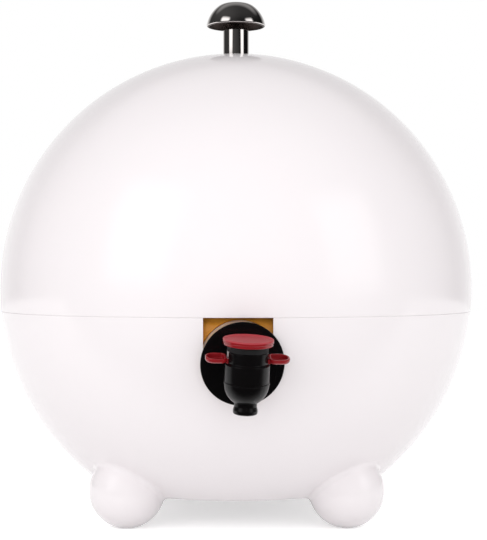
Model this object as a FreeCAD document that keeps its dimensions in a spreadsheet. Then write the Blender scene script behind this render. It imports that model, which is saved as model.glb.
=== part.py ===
# Ball-shaped wine dispenser: a bowl on four ball feet holds a filled wine bag, a lift-off dome with a
# metal knob covers it, and the bag's press tap looks out through a notch in the bowl's rim.
# Millimetres, +Z up. The origin is where the ball's upright axis meets the surface it stands on, and the
# tap faces -Y.
import FreeCAD
import Part
import Sketcher
import os

SIZES = {
    # Ball and bowl
    "ball_radius": 145.0,
    "shell_wall": 3.0,
    "floor_height": 137.0,
    "seam_drop": 13.3,
    "base_drop": 120.0,
    "base_edge_radius": 12.0,
    "foot_band_drop": 92.0,
    "notch_band_drop": 62.0,
    "seam_chamfer": 0.4,
    "lip_rise": 5.0,
    "lip_wall": 1.3,
    "lip_set_out": 0.1,
    "lip_root": 3.0,
    "lip_clearance": 0.1,
    "lip_headroom": 0.5,
    # Feet
    "foot_radius": 22.0,
    "foot_circle_radius": 89.8,
    "foot_flat_radius": 5.0,
    "foot_turn": 45.0,
    "foot_count": 4,
    "foot_blend": 3.0,
    # Notch for the tap
    "notch_half_width": 18.5,
    "notch_drop": 37.1,
    # Knob
    "knob_seat_radius": 9.0,
    "knob_boss_radius": 12.0,
    "knob_boss_depth": 1.3,
    "stem_radius": 8.0,
    "stem_show": 17.8,
    "stem_bore_radius": 3.2,
    "stem_into_cap": 1.4,
    "cap_sphere_radius": 18.55,
    "cap_sphere_drop": 2.15,
    "cap_height": 15.15,
    "cap_crown_arc": 45.0,
    "cap_crown_spread": 6.0,
    "cap_shoulder_spread": 11.5,
    "cap_shoulder_arc": 11.3,
    "cap_wall": 1.6,
    "cap_rim_radius": 1.2,
    "cap_boss_radius": 6.0,
    "screw_radius": 2.5,
    "screw_length": 35.0,
    "screw_hole_clearance": 0.25,
    "screw_head_radius": 4.75,
    "screw_head_height": 3.4,
    "screw_drive_radius": 1.8,
    "screw_drive_depth": 2.0,
    "washer_radius": 7.5,
    "washer_thickness": 1.2,
    # Tap stance in the notch
    "tap_shift_right": 2.35,
    "tap_drop": 0.4,
    "tap_disc_stand_off": 4.8,
    "tap_yaw": 6.9,
    "tap_pitch": 8.0,
    "tap_roll": 1.5,
    # Tap body
    "disc_radius": 22.35,
    "disc_thickness": 1.6,
    "disc_edge": 0.5,
    "barrel_to_disc": 17.0,
    "barrel_top": 10.3,
    "barrel_radius": 10.75,
    "barrel_wall": 1.3,
    "barrel_step_top": 4.5,
    "barrel_step_height": 1.0,
    "skirt_radius": 11.7,
    "seat_top": -4.4,
    "seat_thickness": 1.2,
    "seat_hole_radius": 4.2,
    "seat_ring_wall": 0.8,
    "seat_ring_depth": 1.2,
    "passage_radius": 7.5,
    "passage_bore_radius": 4.1,
    "spigot_radius": 11.9,
    "spigot_bore_radius": 9.4,
    "spigot_set_in": 0.5,
    # Nozzle under the barrel
    "bead_proud": 0.35,
    "nozzle_bowl_drop": 6.5,
    "nozzle_wall": 1.3,
    "neck_radius": 5.9,
    "neck_flare_height": 1.9,
    "neck_blend": 1.6,
    "spout_lip_radius": 6.4,
    "spout_lip_drop": 20.3,
    "spout_lip_round": 0.9,
    "spout_end": 22.4,
    "spout_bore_radius": 4.6,
    # Finger wings
    "yoke_clearance": 0.1,
    "yoke_wall": 1.5,
    "yoke_height": 5.0,
    "wing_bottom": 4.4,
    "wing_height": 4.0,
    "wing_root": 10.9,
    "wing_reach": 21.9,
    "wing_half_depth": 5.3,
    "wing_outer_corner": 4.9,
    "wing_inner_corner": 3.0,
    "wing_wall": 1.2,
    "wing_underside_blend": 1.9,
    "wing_scoop": 1.6,
    "wing_rim_blend": 0.4,
    "wing_neck_half_depth": 3.0,
    # Push button
    "button_radius": 13.15,
    "button_top": 17.0,
    "button_skirt_bottom": 13.6,
    "button_plate": 1.0,
    "button_dish": 0.6,
    "button_dish_radius": 11.6,
    "button_tier": 0.3,
    "button_tier_height": 1.7,
    "button_edge": 0.5,
    "button_clearance": 0.35,
    "button_boss_radius": 3.6,
    "button_boss_depth": 2.4,
    # Diaphragm, stem and seal
    "diaphragm_wall": 1.0,
    "diaphragm_bead_width": 1.15,
    "diaphragm_top": 14.9,
    "diaphragm_hub_radius": 4.0,
    "diaphragm_hub_height": 1.2,
    "diaphragm_hub_gap": 0.1,
    "valve_stem_radius": 1.9,
    "seal_radius": 6.3,
    "seal_thickness": 2.2,
    "seal_gap": 0.05,
    # Bag and its gland
    "gland_gap": 0.2,
    "gland_front_radius": 19.3,
    "gland_front_thickness": 1.0,
    "gland_neck_radius": 16.5,
    "gland_fit": 0.05,
    "gland_rear_set_back": 13.4,
    "gland_rear_radius": 21.0,
    "gland_rear_thickness": 1.5,
    "bag_clearance": 0.5,
    "bag_shoulder_drop": 12.0,
    "bag_crown_height": 20.0,
    "bag_shoulder_blend": 9.0,
    "bag_base_blend": 24.0,
    "bag_recess_depth": 50.0,
}

# Two lengths closer than this, in millimetres, are taken as the same
NEAR = 0.01

doc = FreeCAD.newDocument("wine_dispenser")
sheet = doc.addObject("Spreadsheet::Sheet", "sizes")
for row, (alias, value) in enumerate(SIZES.items(), start=1):
    sheet.set(f"A{row}", alias)
    sheet.set(f"B{row}", str(value))
    sheet.setAlias(f"B{row}", alias)
doc.recompute()

WORD = {alias: f"sizes.{alias}" for alias in SIZES}


def value_of(expression):
    """The number that an expression on the sheet gives."""
    found = sheet.evalExpression(expression)
    return float(getattr(found, "Value", found))


def sized(text):
    """Write each size's name in the text as its cell on the sheet."""
    words = []
    word = ""
    for letter in text + " ":
        if letter.isalnum() or letter == "_":
            word += letter
            continue
        words.append(WORD.get(word, word))
        words.append(letter)
        word = ""
    return "".join(words).strip()


# Lengths that several pieces share, worked out from the sheet
SEAM_RADIUS = "sqrt(ball_radius ^ 2 - seam_drop ^ 2)"
INNER_RADIUS = "(ball_radius - shell_wall)"
LIP_INNER = f"(sqrt({INNER_RADIUS} ^ 2 - seam_drop ^ 2) + lip_set_out)"
LIP_OUTER = f"({LIP_INNER} + lip_wall)"
SEAT_Z = "sqrt(ball_radius ^ 2 - knob_seat_radius ^ 2)"
BOSS_TOP = f"sqrt({INNER_RADIUS} ^ 2 - knob_boss_radius ^ 2)"
BOSS_FACE = f"({BOSS_TOP} - knob_boss_depth)"
CAP_RIM = "(ball_radius + stem_show)"
WASHER_FACE = f"({BOSS_FACE} - washer_thickness)"
SEAT_BOTTOM = "(seat_top - seat_thickness)"
BARREL_BORE = "(barrel_radius - barrel_wall)"
YOKE_RADIUS = f"({BARREL_BORE} - yoke_clearance)"
YOKE_TOP = "(wing_bottom + yoke_height)"
BUTTON_BORE = "(barrel_radius + button_clearance)"
BUTTON_UNDERSIDE = "(button_top - button_dish - button_plate)"
DISC_BACK = "(barrel_to_disc + disc_thickness)"
GLAND_REAR = "(barrel_to_disc + gland_rear_set_back)"
GLAND_END = f"({GLAND_REAR} + gland_rear_thickness)"
SPIGOT_LENGTH = f"({GLAND_END} - {DISC_BACK} - spigot_set_in)"
BAG_RADIUS = f"({INNER_RADIUS} - bag_clearance)"
BAG_BASE = "(base_drop - shell_wall - bag_clearance)"


def new_body(name):
    body = doc.addObject("PartDesign::Body", name)
    body.Label = name
    return body


def origin_part(body, role):
    return next(item for item in body.Origin.OriginFeatures if item.Role == role)


def bind(item, field, text):
    item.setExpression(field, sized(text))


def new_sketch(body, name, plane, offset=None):
    """A sketch on one of the body's own planes, moved along the plane's normal by offset."""
    sketch = body.newObject("Sketcher::SketchObject", name)
    sketch.AttachmentSupport = [(origin_part(body, plane), "")]
    sketch.MapMode = "FlatFace"
    if offset is not None:
        bind(sketch, "AttachmentOffset.Base.z", offset)
    doc.recompute()
    return sketch


def hold(sketch, geometry, end, across, up):
    """Hold a point of the sketch at the place that two expressions give."""
    for kind, text, axis in (("DistanceX", across, -2), ("DistanceY", up, -1)):
        if text == "0":
            sketch.addConstraint(Sketcher.Constraint("PointOnObject", geometry, end, axis))
            continue
        place = value_of(sized(text))
        index = sketch.addConstraint(Sketcher.Constraint(kind, -1, 1, geometry, end, place))
        bind(sketch, f"Constraints[{index}]", text)


def draw_outline(sketch, corners):
    """Closed outline. A corner is (across, up), or (across, up, radius, turn) where an arc ends there."""
    places = [FreeCAD.Vector(value_of(sized(c[0])), value_of(sized(c[1])), 0) for c in corners]
    edges = []
    for index, corner in enumerate(corners):
        start, end = places[index - 1], places[index]
        if len(corner) == 2:
            edges.append((sketch.addGeometry(Part.LineSegment(start, end)), 1, 2))
            continue
        radius = value_of(sized(corner[2]))
        chord = end - start
        middle = (start + end) * 0.5
        rise = max(radius ** 2 - (chord.Length / 2) ** 2, 0) ** 0.5
        left = FreeCAD.Vector(-chord.y, chord.x, 0).normalize()
        turn = 1 if corner[3] == "left" else -1
        circle = Part.Circle(middle + left * rise * turn, FreeCAD.Vector(0, 0, 1), radius)
        ends = (start, end) if turn == 1 else (end, start)
        arc = Part.ArcOfCircle(circle, circle.parameter(ends[0]), circle.parameter(ends[1]))
        edge = sketch.addGeometry(arc)
        edges.append((edge, 1, 2) if turn == 1 else (edge, 2, 1))
        limit = sketch.addConstraint(Sketcher.Constraint("Radius", edge, radius))
        bind(sketch, f"Constraints[{limit}]", corner[2])
    for index, (edge, first, last) in enumerate(edges):
        following = edges[(index + 1) % len(edges)]
        sketch.addConstraint(Sketcher.Constraint("Coincident", edge, last, following[0], following[1]))
        hold(sketch, edge, last, corners[index][0], corners[index][1])
    doc.recompute()
    return sketch


def draw_circle(sketch, radius, across="0", up="0"):
    centre = FreeCAD.Vector(value_of(sized(across)), value_of(sized(up)), 0)
    circle = sketch.addGeometry(Part.Circle(centre, FreeCAD.Vector(0, 0, 1), value_of(sized(radius))))
    limit = sketch.addConstraint(Sketcher.Constraint("Radius", circle, value_of(sized(radius))))
    bind(sketch, f"Constraints[{limit}]", radius)
    if across == "0" and up == "0":
        sketch.addConstraint(Sketcher.Constraint("Coincident", circle, 3, -1, 1))
    else:
        hold(sketch, circle, 3, across, up)
    doc.recompute()
    return sketch


def new_feature(body, kind, name):
    """A solid feature. The bowl's keep the joins between the bands of its round wall."""
    feature = body.newObject(f"PartDesign::{kind}", name)
    if body.Label == "lower_shell":
        feature.Refine = False
    return feature


def turn_about(body, name, corners, kind="Revolution"):
    """Turn an outline, given as (radius, height) corners, about the body's upright axis."""
    sketch = draw_outline(new_sketch(body, f"{name}_outline", "XZ_Plane"), corners)
    feature = new_feature(body, kind, name)
    feature.Profile = sketch
    feature.ReferenceAxis = (sketch, ["V_Axis"])
    feature.Angle = 360
    doc.recompute()
    return feature


def pad(body, name, sketch, length, reverse=False, kind="Pad"):
    feature = new_feature(body, kind, name)
    feature.Profile = sketch
    bind(feature, "Length", length)
    feature.Reversed = reverse
    doc.recompute()
    return feature


def spread(body, name, originals, count):
    """Copies of the originals, evenly round the body's upright axis."""
    pattern = new_feature(body, "PolarPattern", name)
    pattern.Originals = originals
    pattern.Axis = (origin_part(body, "Z_Axis"), [""])
    pattern.Angle = 360
    bind(pattern, "Occurrences", count)
    body.Tip = pattern
    doc.recompute()
    return pattern


def soften(body, name, base, edges, size, kind="Fillet"):
    """Round or chamfer the edges of the base that the test picks."""
    picked = []
    for number, edge in enumerate(base.Shape.Edges, start=1):
        if not edge.Degenerated and edges(edge):
            picked.append(f"Edge{number}")
    if not picked:
        raise RuntimeError(f"{body.Label}: no edge found for {name}")
    feature = new_feature(body, kind, name)
    feature.Base = (base, picked)
    bind(feature, "Radius" if kind == "Fillet" else "Size", size)
    doc.recompute()
    if "Invalid" in feature.State or "Error" in feature.State:
        raise RuntimeError(f"{body.Label}: {name} failed")
    return feature


def ring_at(radius, height):
    """Picks the full circles round the upright axis at one radius and height."""
    wanted, level = value_of(sized(radius)), value_of(sized(height))

    def test(edge):
        if not isinstance(edge.Curve, Part.Circle):
            return False
        off_axis = FreeCAD.Vector(edge.Curve.Center.x, edge.Curve.Center.y, 0).Length
        same = abs(edge.Curve.Radius - wanted) < NEAR and abs(edge.Curve.Center.z - level) < NEAR
        return same and off_axis < NEAR

    return test


def ball(body, name, kind, radius):
    """A sphere on the feet's circle, added or taken away."""
    sphere = new_feature(body, f"{kind}Sphere", name)
    bind(sphere, "Radius", radius)
    bind(sphere, "Placement.Base.x", "foot_circle_radius * cos(foot_turn * 1deg)")
    bind(sphere, "Placement.Base.y", "foot_circle_radius * sin(foot_turn * 1deg)")
    bind(sphere, "Placement.Base.z", "sqrt(foot_radius ^ 2 - foot_flat_radius ^ 2) - floor_height")
    doc.recompute()
    return sphere


def foot_join(edge):
    """Picks the edges where a ball foot meets the bowl's round side or its flat base."""
    foot_x = value_of(sized("foot_circle_radius * cos(foot_turn * 1deg)"))
    foot_z = value_of(sized("sqrt(foot_radius ^ 2 - foot_flat_radius ^ 2) - floor_height"))
    foot_radius = value_of("sizes.foot_radius")
    middle = edge.valueAt((edge.FirstParameter + edge.LastParameter) / 2)
    centre = FreeCAD.Vector(abs(middle.x) - foot_x, abs(middle.y) - foot_x, middle.z - foot_z)
    low = value_of("-sizes.base_drop") - NEAR
    return abs(centre.Length - foot_radius) < 2 * NEAR and middle.z > low


def make_lower_shell():
    """Bowl with four hollow ball feet moulded on, a rim lip for the dome and the notch for the tap."""
    body = new_body("lower_shell")
    notch_bands = 3
    drops = ["foot_band_drop"]
    for band in range(notch_bands):
        drops.append(f"(notch_band_drop - {band} / {notch_bands} * (notch_band_drop - seam_drop))")
    round_wall = [(f"sqrt(ball_radius ^ 2 - {drop} ^ 2)", f"-{drop}", "ball_radius", "left") for drop in drops]
    bowl = turn_about(body, "bowl", [
        ("0", "-base_drop"),
        ("sqrt(ball_radius ^ 2 - base_drop ^ 2)", "-base_drop"),
        *round_wall,
        (SEAM_RADIUS, "-seam_drop", "ball_radius", "left"),
        ("0", "-seam_drop"),
    ])
    base_ring = ring_at("sqrt(ball_radius ^ 2 - base_drop ^ 2)", "-base_drop")
    soften(body, "base_edge", bowl, base_ring, "base_edge_radius")
    foot = ball(body, "foot", "Additive", "foot_radius")
    feet = spread(body, "feet", [foot], "foot_count")
    soften(body, "foot_blends", feet, foot_join, "foot_blend")
    turn_about(body, "foot_flats", [
        ("0", "-floor_height - foot_radius"),
        ("ball_radius", "-floor_height - foot_radius"),
        ("ball_radius", "-floor_height"),
        ("0", "-floor_height"),
    ], "Groove")
    soften(body, "seam_edge", body.Tip, ring_at(SEAM_RADIUS, "-seam_drop"), "seam_chamfer", "Chamfer")
    turn_about(body, "hollow", [
        ("0", "shell_wall - base_drop"),
        (f"sqrt({INNER_RADIUS} ^ 2 - (base_drop - shell_wall) ^ 2)", "shell_wall - base_drop"),
        (f"sqrt({INNER_RADIUS} ^ 2 - seam_drop ^ 2)", "-seam_drop", INNER_RADIUS, "left"),
        ("0", "-seam_drop"),
    ], "Groove")
    foot_hollow = ball(body, "foot_hollow", "Subtractive", "foot_radius - shell_wall")
    spread(body, "foot_hollows", [foot_hollow], "foot_count")
    turn_about(body, "rim_lip", [
        (LIP_INNER, "-seam_drop - lip_root"),
        (LIP_OUTER, "-seam_drop - lip_root"),
        (LIP_OUTER, "lip_rise - seam_drop"),
        (LIP_INNER, "lip_rise - seam_drop"),
    ])
    notch = draw_outline(new_sketch(body, "notch_outline", "XZ_Plane"), [
        ("-notch_half_width", "-notch_drop"),
        ("0", "-notch_drop - notch_half_width", "notch_half_width", "left"),
        ("notch_half_width", "-notch_drop", "notch_half_width", "left"),
        ("notch_half_width", "lip_rise"),
        ("-notch_half_width", "lip_rise"),
    ])
    whole = body.Tip.Shape.Volume
    pad(body, "notch", notch, "ball_radius + shell_wall", reverse=True, kind="Pocket")
    if body.Tip.Shape.Volume >= whole:
        raise RuntimeError("the notch cuts nothing")
    return body


def make_upper_shell():
    """Dome that sits over the bowl's lip, with a flat seat for the knob and a boss under it."""
    body = new_body("upper_shell")
    rebate = f"({LIP_OUTER} + lip_clearance)"
    rebate_top = "(lip_rise + lip_headroom - seam_drop)"
    screw_hole = "(screw_radius + screw_hole_clearance)"
    dome = turn_about(body, "dome", [
        (rebate, "-seam_drop"),
        (SEAM_RADIUS, "-seam_drop"),
        ("knob_seat_radius", SEAT_Z, "ball_radius", "left"),
        (screw_hole, SEAT_Z),
        (screw_hole, BOSS_FACE),
        ("knob_boss_radius", BOSS_FACE),
        ("knob_boss_radius", BOSS_TOP),
        (f"sqrt({INNER_RADIUS} ^ 2 - {rebate_top} ^ 2)", rebate_top, INNER_RADIUS, "right"),
        (rebate, rebate_top),
    ])
    soften(body, "seam_edge", dome, ring_at(SEAM_RADIUS, "-seam_drop"), "seam_chamfer", "Chamfer")
    return body


def make_knob_stem():
    """Turned metal post between the dome and the knob's cap."""
    body = new_body("knob_stem")
    turn_about(body, "post", [
        ("stem_bore_radius", SEAT_Z),
        ("stem_radius", SEAT_Z),
        ("stem_radius", f"{CAP_RIM} + stem_into_cap"),
        ("stem_bore_radius", f"{CAP_RIM} + stem_into_cap"),
    ])
    return body


def make_knob_cap():
    """Hollow mushroom cap with a threaded boss that stands on the post."""
    body = new_body("knob_cap")
    centre = f"({CAP_RIM} - cap_sphere_drop)"
    shoulder = f"({centre} + sqrt(cap_sphere_radius ^ 2 - cap_shoulder_spread ^ 2))"
    top = f"({CAP_RIM} + cap_height)"
    crown = f"({top} - cap_crown_arc + sqrt(cap_crown_arc ^ 2 - cap_crown_spread ^ 2))"
    inner = "(cap_sphere_radius - cap_wall)"
    ceiling = f"({centre} + sqrt({inner} ^ 2 - cap_boss_radius ^ 2))"
    turn_about(body, "mushroom", [
        ("0", CAP_RIM),
        ("sqrt(cap_sphere_radius ^ 2 - cap_sphere_drop ^ 2)", CAP_RIM),
        ("cap_shoulder_spread", shoulder, "cap_sphere_radius", "left"),
        ("cap_crown_spread", crown, "cap_shoulder_arc", "left"),
        ("0", top, "cap_crown_arc", "left"),
    ])
    turn_about(body, "cap_hollow", [
        ("cap_boss_radius", CAP_RIM),
        (f"sqrt({inner} ^ 2 - cap_sphere_drop ^ 2)", CAP_RIM),
        ("cap_boss_radius", ceiling, inner, "left"),
    ], "Groove")
    turn_about(body, "boss_seat", [
        ("0", CAP_RIM),
        ("cap_boss_radius", CAP_RIM),
        ("cap_boss_radius", f"{CAP_RIM} + stem_into_cap"),
        ("screw_radius", f"{CAP_RIM} + stem_into_cap"),
        ("screw_radius", f"{WASHER_FACE} + screw_length"),
        ("0", f"{WASHER_FACE} + screw_length"),
    ], "Groove")
    rim = ring_at("sqrt(cap_sphere_radius ^ 2 - cap_sphere_drop ^ 2)", CAP_RIM)
    soften(body, "rim_round", body.Tip, rim, "cap_rim_radius")
    return body


def make_knob_washer():
    body = new_body("knob_washer")
    turn_about(body, "ring", [
        ("screw_radius + screw_hole_clearance", WASHER_FACE),
        ("washer_radius", WASHER_FACE),
        ("washer_radius", BOSS_FACE),
        ("screw_radius + screw_hole_clearance", BOSS_FACE),
    ])
    return body


def make_knob_screw():
    """Pan-head screw from inside the dome, through the washer and the post into the cap."""
    body = new_body("knob_screw")
    head = turn_about(body, "screw", [
        ("0", f"{WASHER_FACE} - screw_head_height"),
        ("screw_head_radius", f"{WASHER_FACE} - screw_head_height"),
        ("screw_head_radius", WASHER_FACE),
        ("screw_radius", WASHER_FACE),
        ("screw_radius", f"{WASHER_FACE} + screw_length"),
        ("0", f"{WASHER_FACE} + screw_length"),
    ])
    rounding = ring_at("screw_head_radius", f"{WASHER_FACE} - screw_head_height")
    soften(body, "head_round", head, rounding, "screw_head_height / 2")
    drive = new_sketch(body, "drive_outline", "XY_Plane", f"{WASHER_FACE} - screw_head_height")
    six = []
    for turn in range(0, 360, 60):
        across = "0" if turn in (90, 270) else f"screw_drive_radius * cos({turn}deg)"
        up = "0" if turn in (0, 180) else f"screw_drive_radius * sin({turn}deg)"
        six.append((across, up))
    draw_outline(drive, six)
    pad(body, "drive", drive, "screw_drive_depth", reverse=True, kind="Pocket")
    return body


def make_tap_body():
    """Barrel with its disc, the passage from the bag, the spigot that plugs the gland and the valve seat."""
    body = new_body("tap_body")
    turn_about(body, "barrel", [
        ("0", SEAT_BOTTOM),
        ("skirt_radius", SEAT_BOTTOM),
        ("skirt_radius", "barrel_step_top - barrel_step_height"),
        ("barrel_radius", "barrel_step_top"),
        ("barrel_radius", "barrel_top"),
        ("0", "barrel_top"),
    ])
    passage = draw_circle(new_sketch(body, "passage_outline", "XZ_Plane"), "passage_radius")
    pad(body, "passage", passage, "barrel_to_disc", reverse=True)
    disc = draw_circle(new_sketch(body, "disc_outline", "XZ_Plane", "-barrel_to_disc"), "disc_radius")
    plate = pad(body, "disc", disc, "disc_thickness", reverse=True)

    def rim(edge):
        round_edge = isinstance(edge.Curve, Part.Circle)
        return round_edge and abs(edge.Curve.Radius - value_of("sizes.disc_radius")) < NEAR

    soften(body, "disc_round", plate, rim, "disc_edge")
    spigot = draw_circle(new_sketch(body, "spigot_outline", "XZ_Plane", f"-{DISC_BACK}"), "spigot_radius")
    pad(body, "spigot", spigot, SPIGOT_LENGTH, reverse=True)
    under = draw_outline(new_sketch(body, "under_outline", "XZ_Plane"), [
        ("-skirt_radius", SEAT_BOTTOM),
        ("-skirt_radius", f"{SEAT_BOTTOM} - passage_radius"),
        ("skirt_radius", f"{SEAT_BOTTOM} - passage_radius"),
        ("skirt_radius", SEAT_BOTTOM),
    ])
    pad(body, "flat_underside", under, "barrel_to_disc", kind="Pocket")
    turn_about(body, "chamber", [
        ("0", "seat_top"),
        (BARREL_BORE, "seat_top"),
        (BARREL_BORE, "barrel_top"),
        ("0", "barrel_top"),
    ], "Groove")
    bore = draw_circle(new_sketch(body, "bore_outline", "XZ_Plane"), "passage_bore_radius")
    pad(body, "passage_bore", bore, f"{DISC_BACK} + {SPIGOT_LENGTH}", kind="Pocket")
    mouth = draw_circle(new_sketch(body, "mouth_outline", "XZ_Plane", f"-{DISC_BACK}"), "spigot_bore_radius")
    pad(body, "spigot_bore", mouth, SPIGOT_LENGTH, kind="Pocket")
    seat = draw_circle(new_sketch(body, "seat_outline", "XY_Plane", SEAT_BOTTOM), "seat_hole_radius")
    pad(body, "seat_hole", seat, "seat_thickness", reverse=True, kind="Pocket")
    ring_outer = "(skirt_radius - nozzle_wall - yoke_clearance)"
    turn_about(body, "seat_ring", [
        (f"{ring_outer} - seat_ring_wall", f"{SEAT_BOTTOM} - seat_ring_depth"),
        (ring_outer, f"{SEAT_BOTTOM} - seat_ring_depth"),
        (ring_outer, f"{SEAT_BOTTOM} + seat_thickness / 2"),
        (f"{ring_outer} - seat_ring_wall", f"{SEAT_BOTTOM} + seat_thickness / 2"),
    ])
    slot_half = "(wing_neck_half_depth + yoke_clearance)"
    slot = draw_outline(new_sketch(body, "slot_outline", "YZ_Plane"), [
        (f"-{slot_half}", "wing_bottom - yoke_clearance"),
        (slot_half, "wing_bottom - yoke_clearance"),
        (slot_half, "barrel_top + yoke_clearance"),
        (f"-{slot_half}", "barrel_top + yoke_clearance"),
    ])
    slots = body.newObject("PartDesign::Pocket", "wing_slots")
    slots.Profile = slot
    slots.Type = "ThroughAll"
    slots.Midplane = True
    doc.recompute()
    return body


def make_tap_nozzle():
    """Rounded bowl under the barrel, drawn in to the flared spout, welded on along its bead."""
    body = new_body("tap_nozzle")
    bead = "(skirt_radius + bead_proud)"
    bowl_inner = "(skirt_radius - nozzle_wall)"
    bowl_foot = "(-nozzle_bowl_drop - sqrt(skirt_radius ^ 2 - neck_radius ^ 2))"
    bore_top = f"(-nozzle_bowl_drop - sqrt({bowl_inner} ^ 2 - spout_bore_radius ^ 2))"
    spout = turn_about(body, "spout", [
        (bowl_inner, SEAT_BOTTOM),
        (bowl_inner, "-nozzle_bowl_drop"),
        ("spout_bore_radius", bore_top, bowl_inner, "right"),
        ("spout_bore_radius", "-spout_end"),
        ("spout_lip_radius - spout_lip_round", "-spout_end"),
        ("spout_lip_radius", "spout_lip_round - spout_end", "spout_lip_round", "left"),
        ("spout_lip_radius", "-spout_lip_drop"),
        ("neck_radius", "neck_flare_height - spout_lip_drop"),
        ("neck_radius", bowl_foot),
        ("skirt_radius", "-nozzle_bowl_drop", "skirt_radius", "left"),
        (bead, "-nozzle_bowl_drop"),
        (bead, SEAT_BOTTOM),
    ])
    soften(body, "neck_round", spout, ring_at("neck_radius", bowl_foot), "neck_blend")
    return body


def draw_tray(sketch, inset):
    """Rounded tray seen from above, reaching out along +X; inset shrinks it evenly."""
    far = f"(wing_reach - {inset})"
    near = f"(wing_root + {inset})"
    half = f"(wing_half_depth - {inset})"
    outer = f"(wing_outer_corner - {inset})"
    inner = f"(wing_inner_corner - {inset})"
    return draw_outline(sketch, [
        (far, f"{half} - {outer}"),
        (f"{far} - {outer}", half, outer, "left"),
        (f"{near} + {inner}", half),
        (near, f"{half} - {inner}", inner, "left"),
        (near, f"{inner} - {half}"),
        (f"{near} + {inner}", f"-{half}", inner, "left"),
        (f"{far} - {outer}", f"-{half}"),
        (far, f"{outer} - {half}", outer, "left"),
    ])


def flat_at(height):
    """Picks the edges that lie level at one height."""
    level = value_of(sized(height))

    def test(edge):
        middle = edge.valueAt((edge.FirstParameter + edge.LastParameter) / 2)
        heights = [vertex.Point.z for vertex in edge.Vertexes] + [middle.z]
        return all(abs(z - level) < NEAR for z in heights)

    return test


def on_scoop(edge):
    """Picks the edges in the sloping plane that the trays' rims lie in."""
    rise = value_of("sizes.wing_scoop / (2 * sizes.wing_half_depth)")
    rear = value_of("sizes.wing_half_depth")
    top = value_of("sizes.wing_bottom + sizes.wing_height")
    ends = [vertex.Point for vertex in edge.Vertexes]
    return all(abs(end.z - top - rise * (end.y - rear)) < NEAR for end in ends)


def make_wing_yoke():
    """Ring inside the barrel that carries two open-topped finger trays out through its slots."""
    body = new_body("wing_yoke")
    ring_inner = f"({YOKE_RADIUS} - yoke_wall)"
    tray_sketch = draw_tray(new_sketch(body, "tray_outline", "XY_Plane", "wing_bottom"), "0")
    tray = pad(body, "tray", tray_sketch, "wing_height + wing_scoop")
    soften(body, "tray_underside", tray, flat_at("wing_bottom"), "wing_underside_blend")
    inside = draw_tray(new_sketch(body, "inside_outline", "XY_Plane", "wing_bottom + wing_wall"), "wing_wall")
    pad(body, "tray_hollow", inside, "wing_height + wing_scoop", reverse=True, kind="Pocket")
    over = draw_outline(new_sketch(body, "scoop_outline", "YZ_Plane"), [
        ("2 * wing_half_depth", "wing_bottom + wing_height + wing_scoop / 2"),
        ("2 * wing_half_depth", "wing_bottom + wing_height + 3 * wing_scoop"),
        ("-2 * wing_half_depth", "wing_bottom + wing_height + 3 * wing_scoop"),
        ("-2 * wing_half_depth", "wing_bottom + wing_height - 1.5 * wing_scoop"),
    ])
    scoop = pad(body, "scoop", over, "2 * wing_reach", reverse=True, kind="Pocket")
    soften(body, "tray_rim", scoop, on_scoop, "wing_rim_blend")
    neck = draw_outline(new_sketch(body, "neck_outline", "XY_Plane", "wing_bottom"), [
        (f"{YOKE_RADIUS} - yoke_wall / 2", "-wing_neck_half_depth"),
        ("wing_root + wing_wall / 2", "-wing_neck_half_depth"),
        ("wing_root + wing_wall / 2", "wing_neck_half_depth"),
        (f"{YOKE_RADIUS} - yoke_wall / 2", "wing_neck_half_depth"),
    ])
    pad(body, "neck", neck, "wing_height - wing_scoop")
    turn_about(body, "ring", [
        (ring_inner, "wing_bottom"),
        (YOKE_RADIUS, "wing_bottom"),
        (YOKE_RADIUS, YOKE_TOP),
        (ring_inner, YOKE_TOP),
    ])
    pair = body.newObject("PartDesign::Mirrored", "wing_pair")
    pair.TransformMode = "Whole shape"
    pair.MirrorPlane = (origin_part(body, "YZ_Plane"), [""])
    body.Tip = pair
    doc.recompute()
    return body


def make_push_button():
    """Dished cap pressed by the thumb, its skirt over the barrel, with a socket for the valve stem."""
    body = new_body("push_button")
    plate_top = "(button_top - button_dish)"
    lower_radius = "(button_radius - button_tier)"
    tier = "(button_top - button_tier_height)"
    boss_end = f"({BUTTON_UNDERSIDE} - button_boss_depth)"
    cap = turn_about(body, "cap", [
        ("0", BUTTON_UNDERSIDE),
        (BUTTON_BORE, BUTTON_UNDERSIDE),
        (BUTTON_BORE, "button_skirt_bottom"),
        (lower_radius, "button_skirt_bottom"),
        (lower_radius, f"{tier} - button_tier"),
        ("button_radius", tier),
        ("button_radius", "button_top"),
        ("button_dish_radius + button_dish", "button_top"),
        ("button_dish_radius", plate_top),
        ("0", plate_top),
    ])
    edge = ring_at("button_radius", "button_top")
    soften(body, "rim_round", cap, edge, "button_edge")
    foot = ring_at(lower_radius, "button_skirt_bottom")
    soften(body, "skirt_round", body.Tip, foot, "button_edge")
    turn_about(body, "socket", [
        ("valve_stem_radius", BUTTON_UNDERSIDE),
        ("valve_stem_radius", boss_end),
        ("button_boss_radius", boss_end),
        ("button_boss_radius", f"{BUTTON_UNDERSIDE} + button_plate / 2"),
        ("valve_stem_radius", f"{BUTTON_UNDERSIDE} + button_plate / 2"),
    ])
    return body


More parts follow.
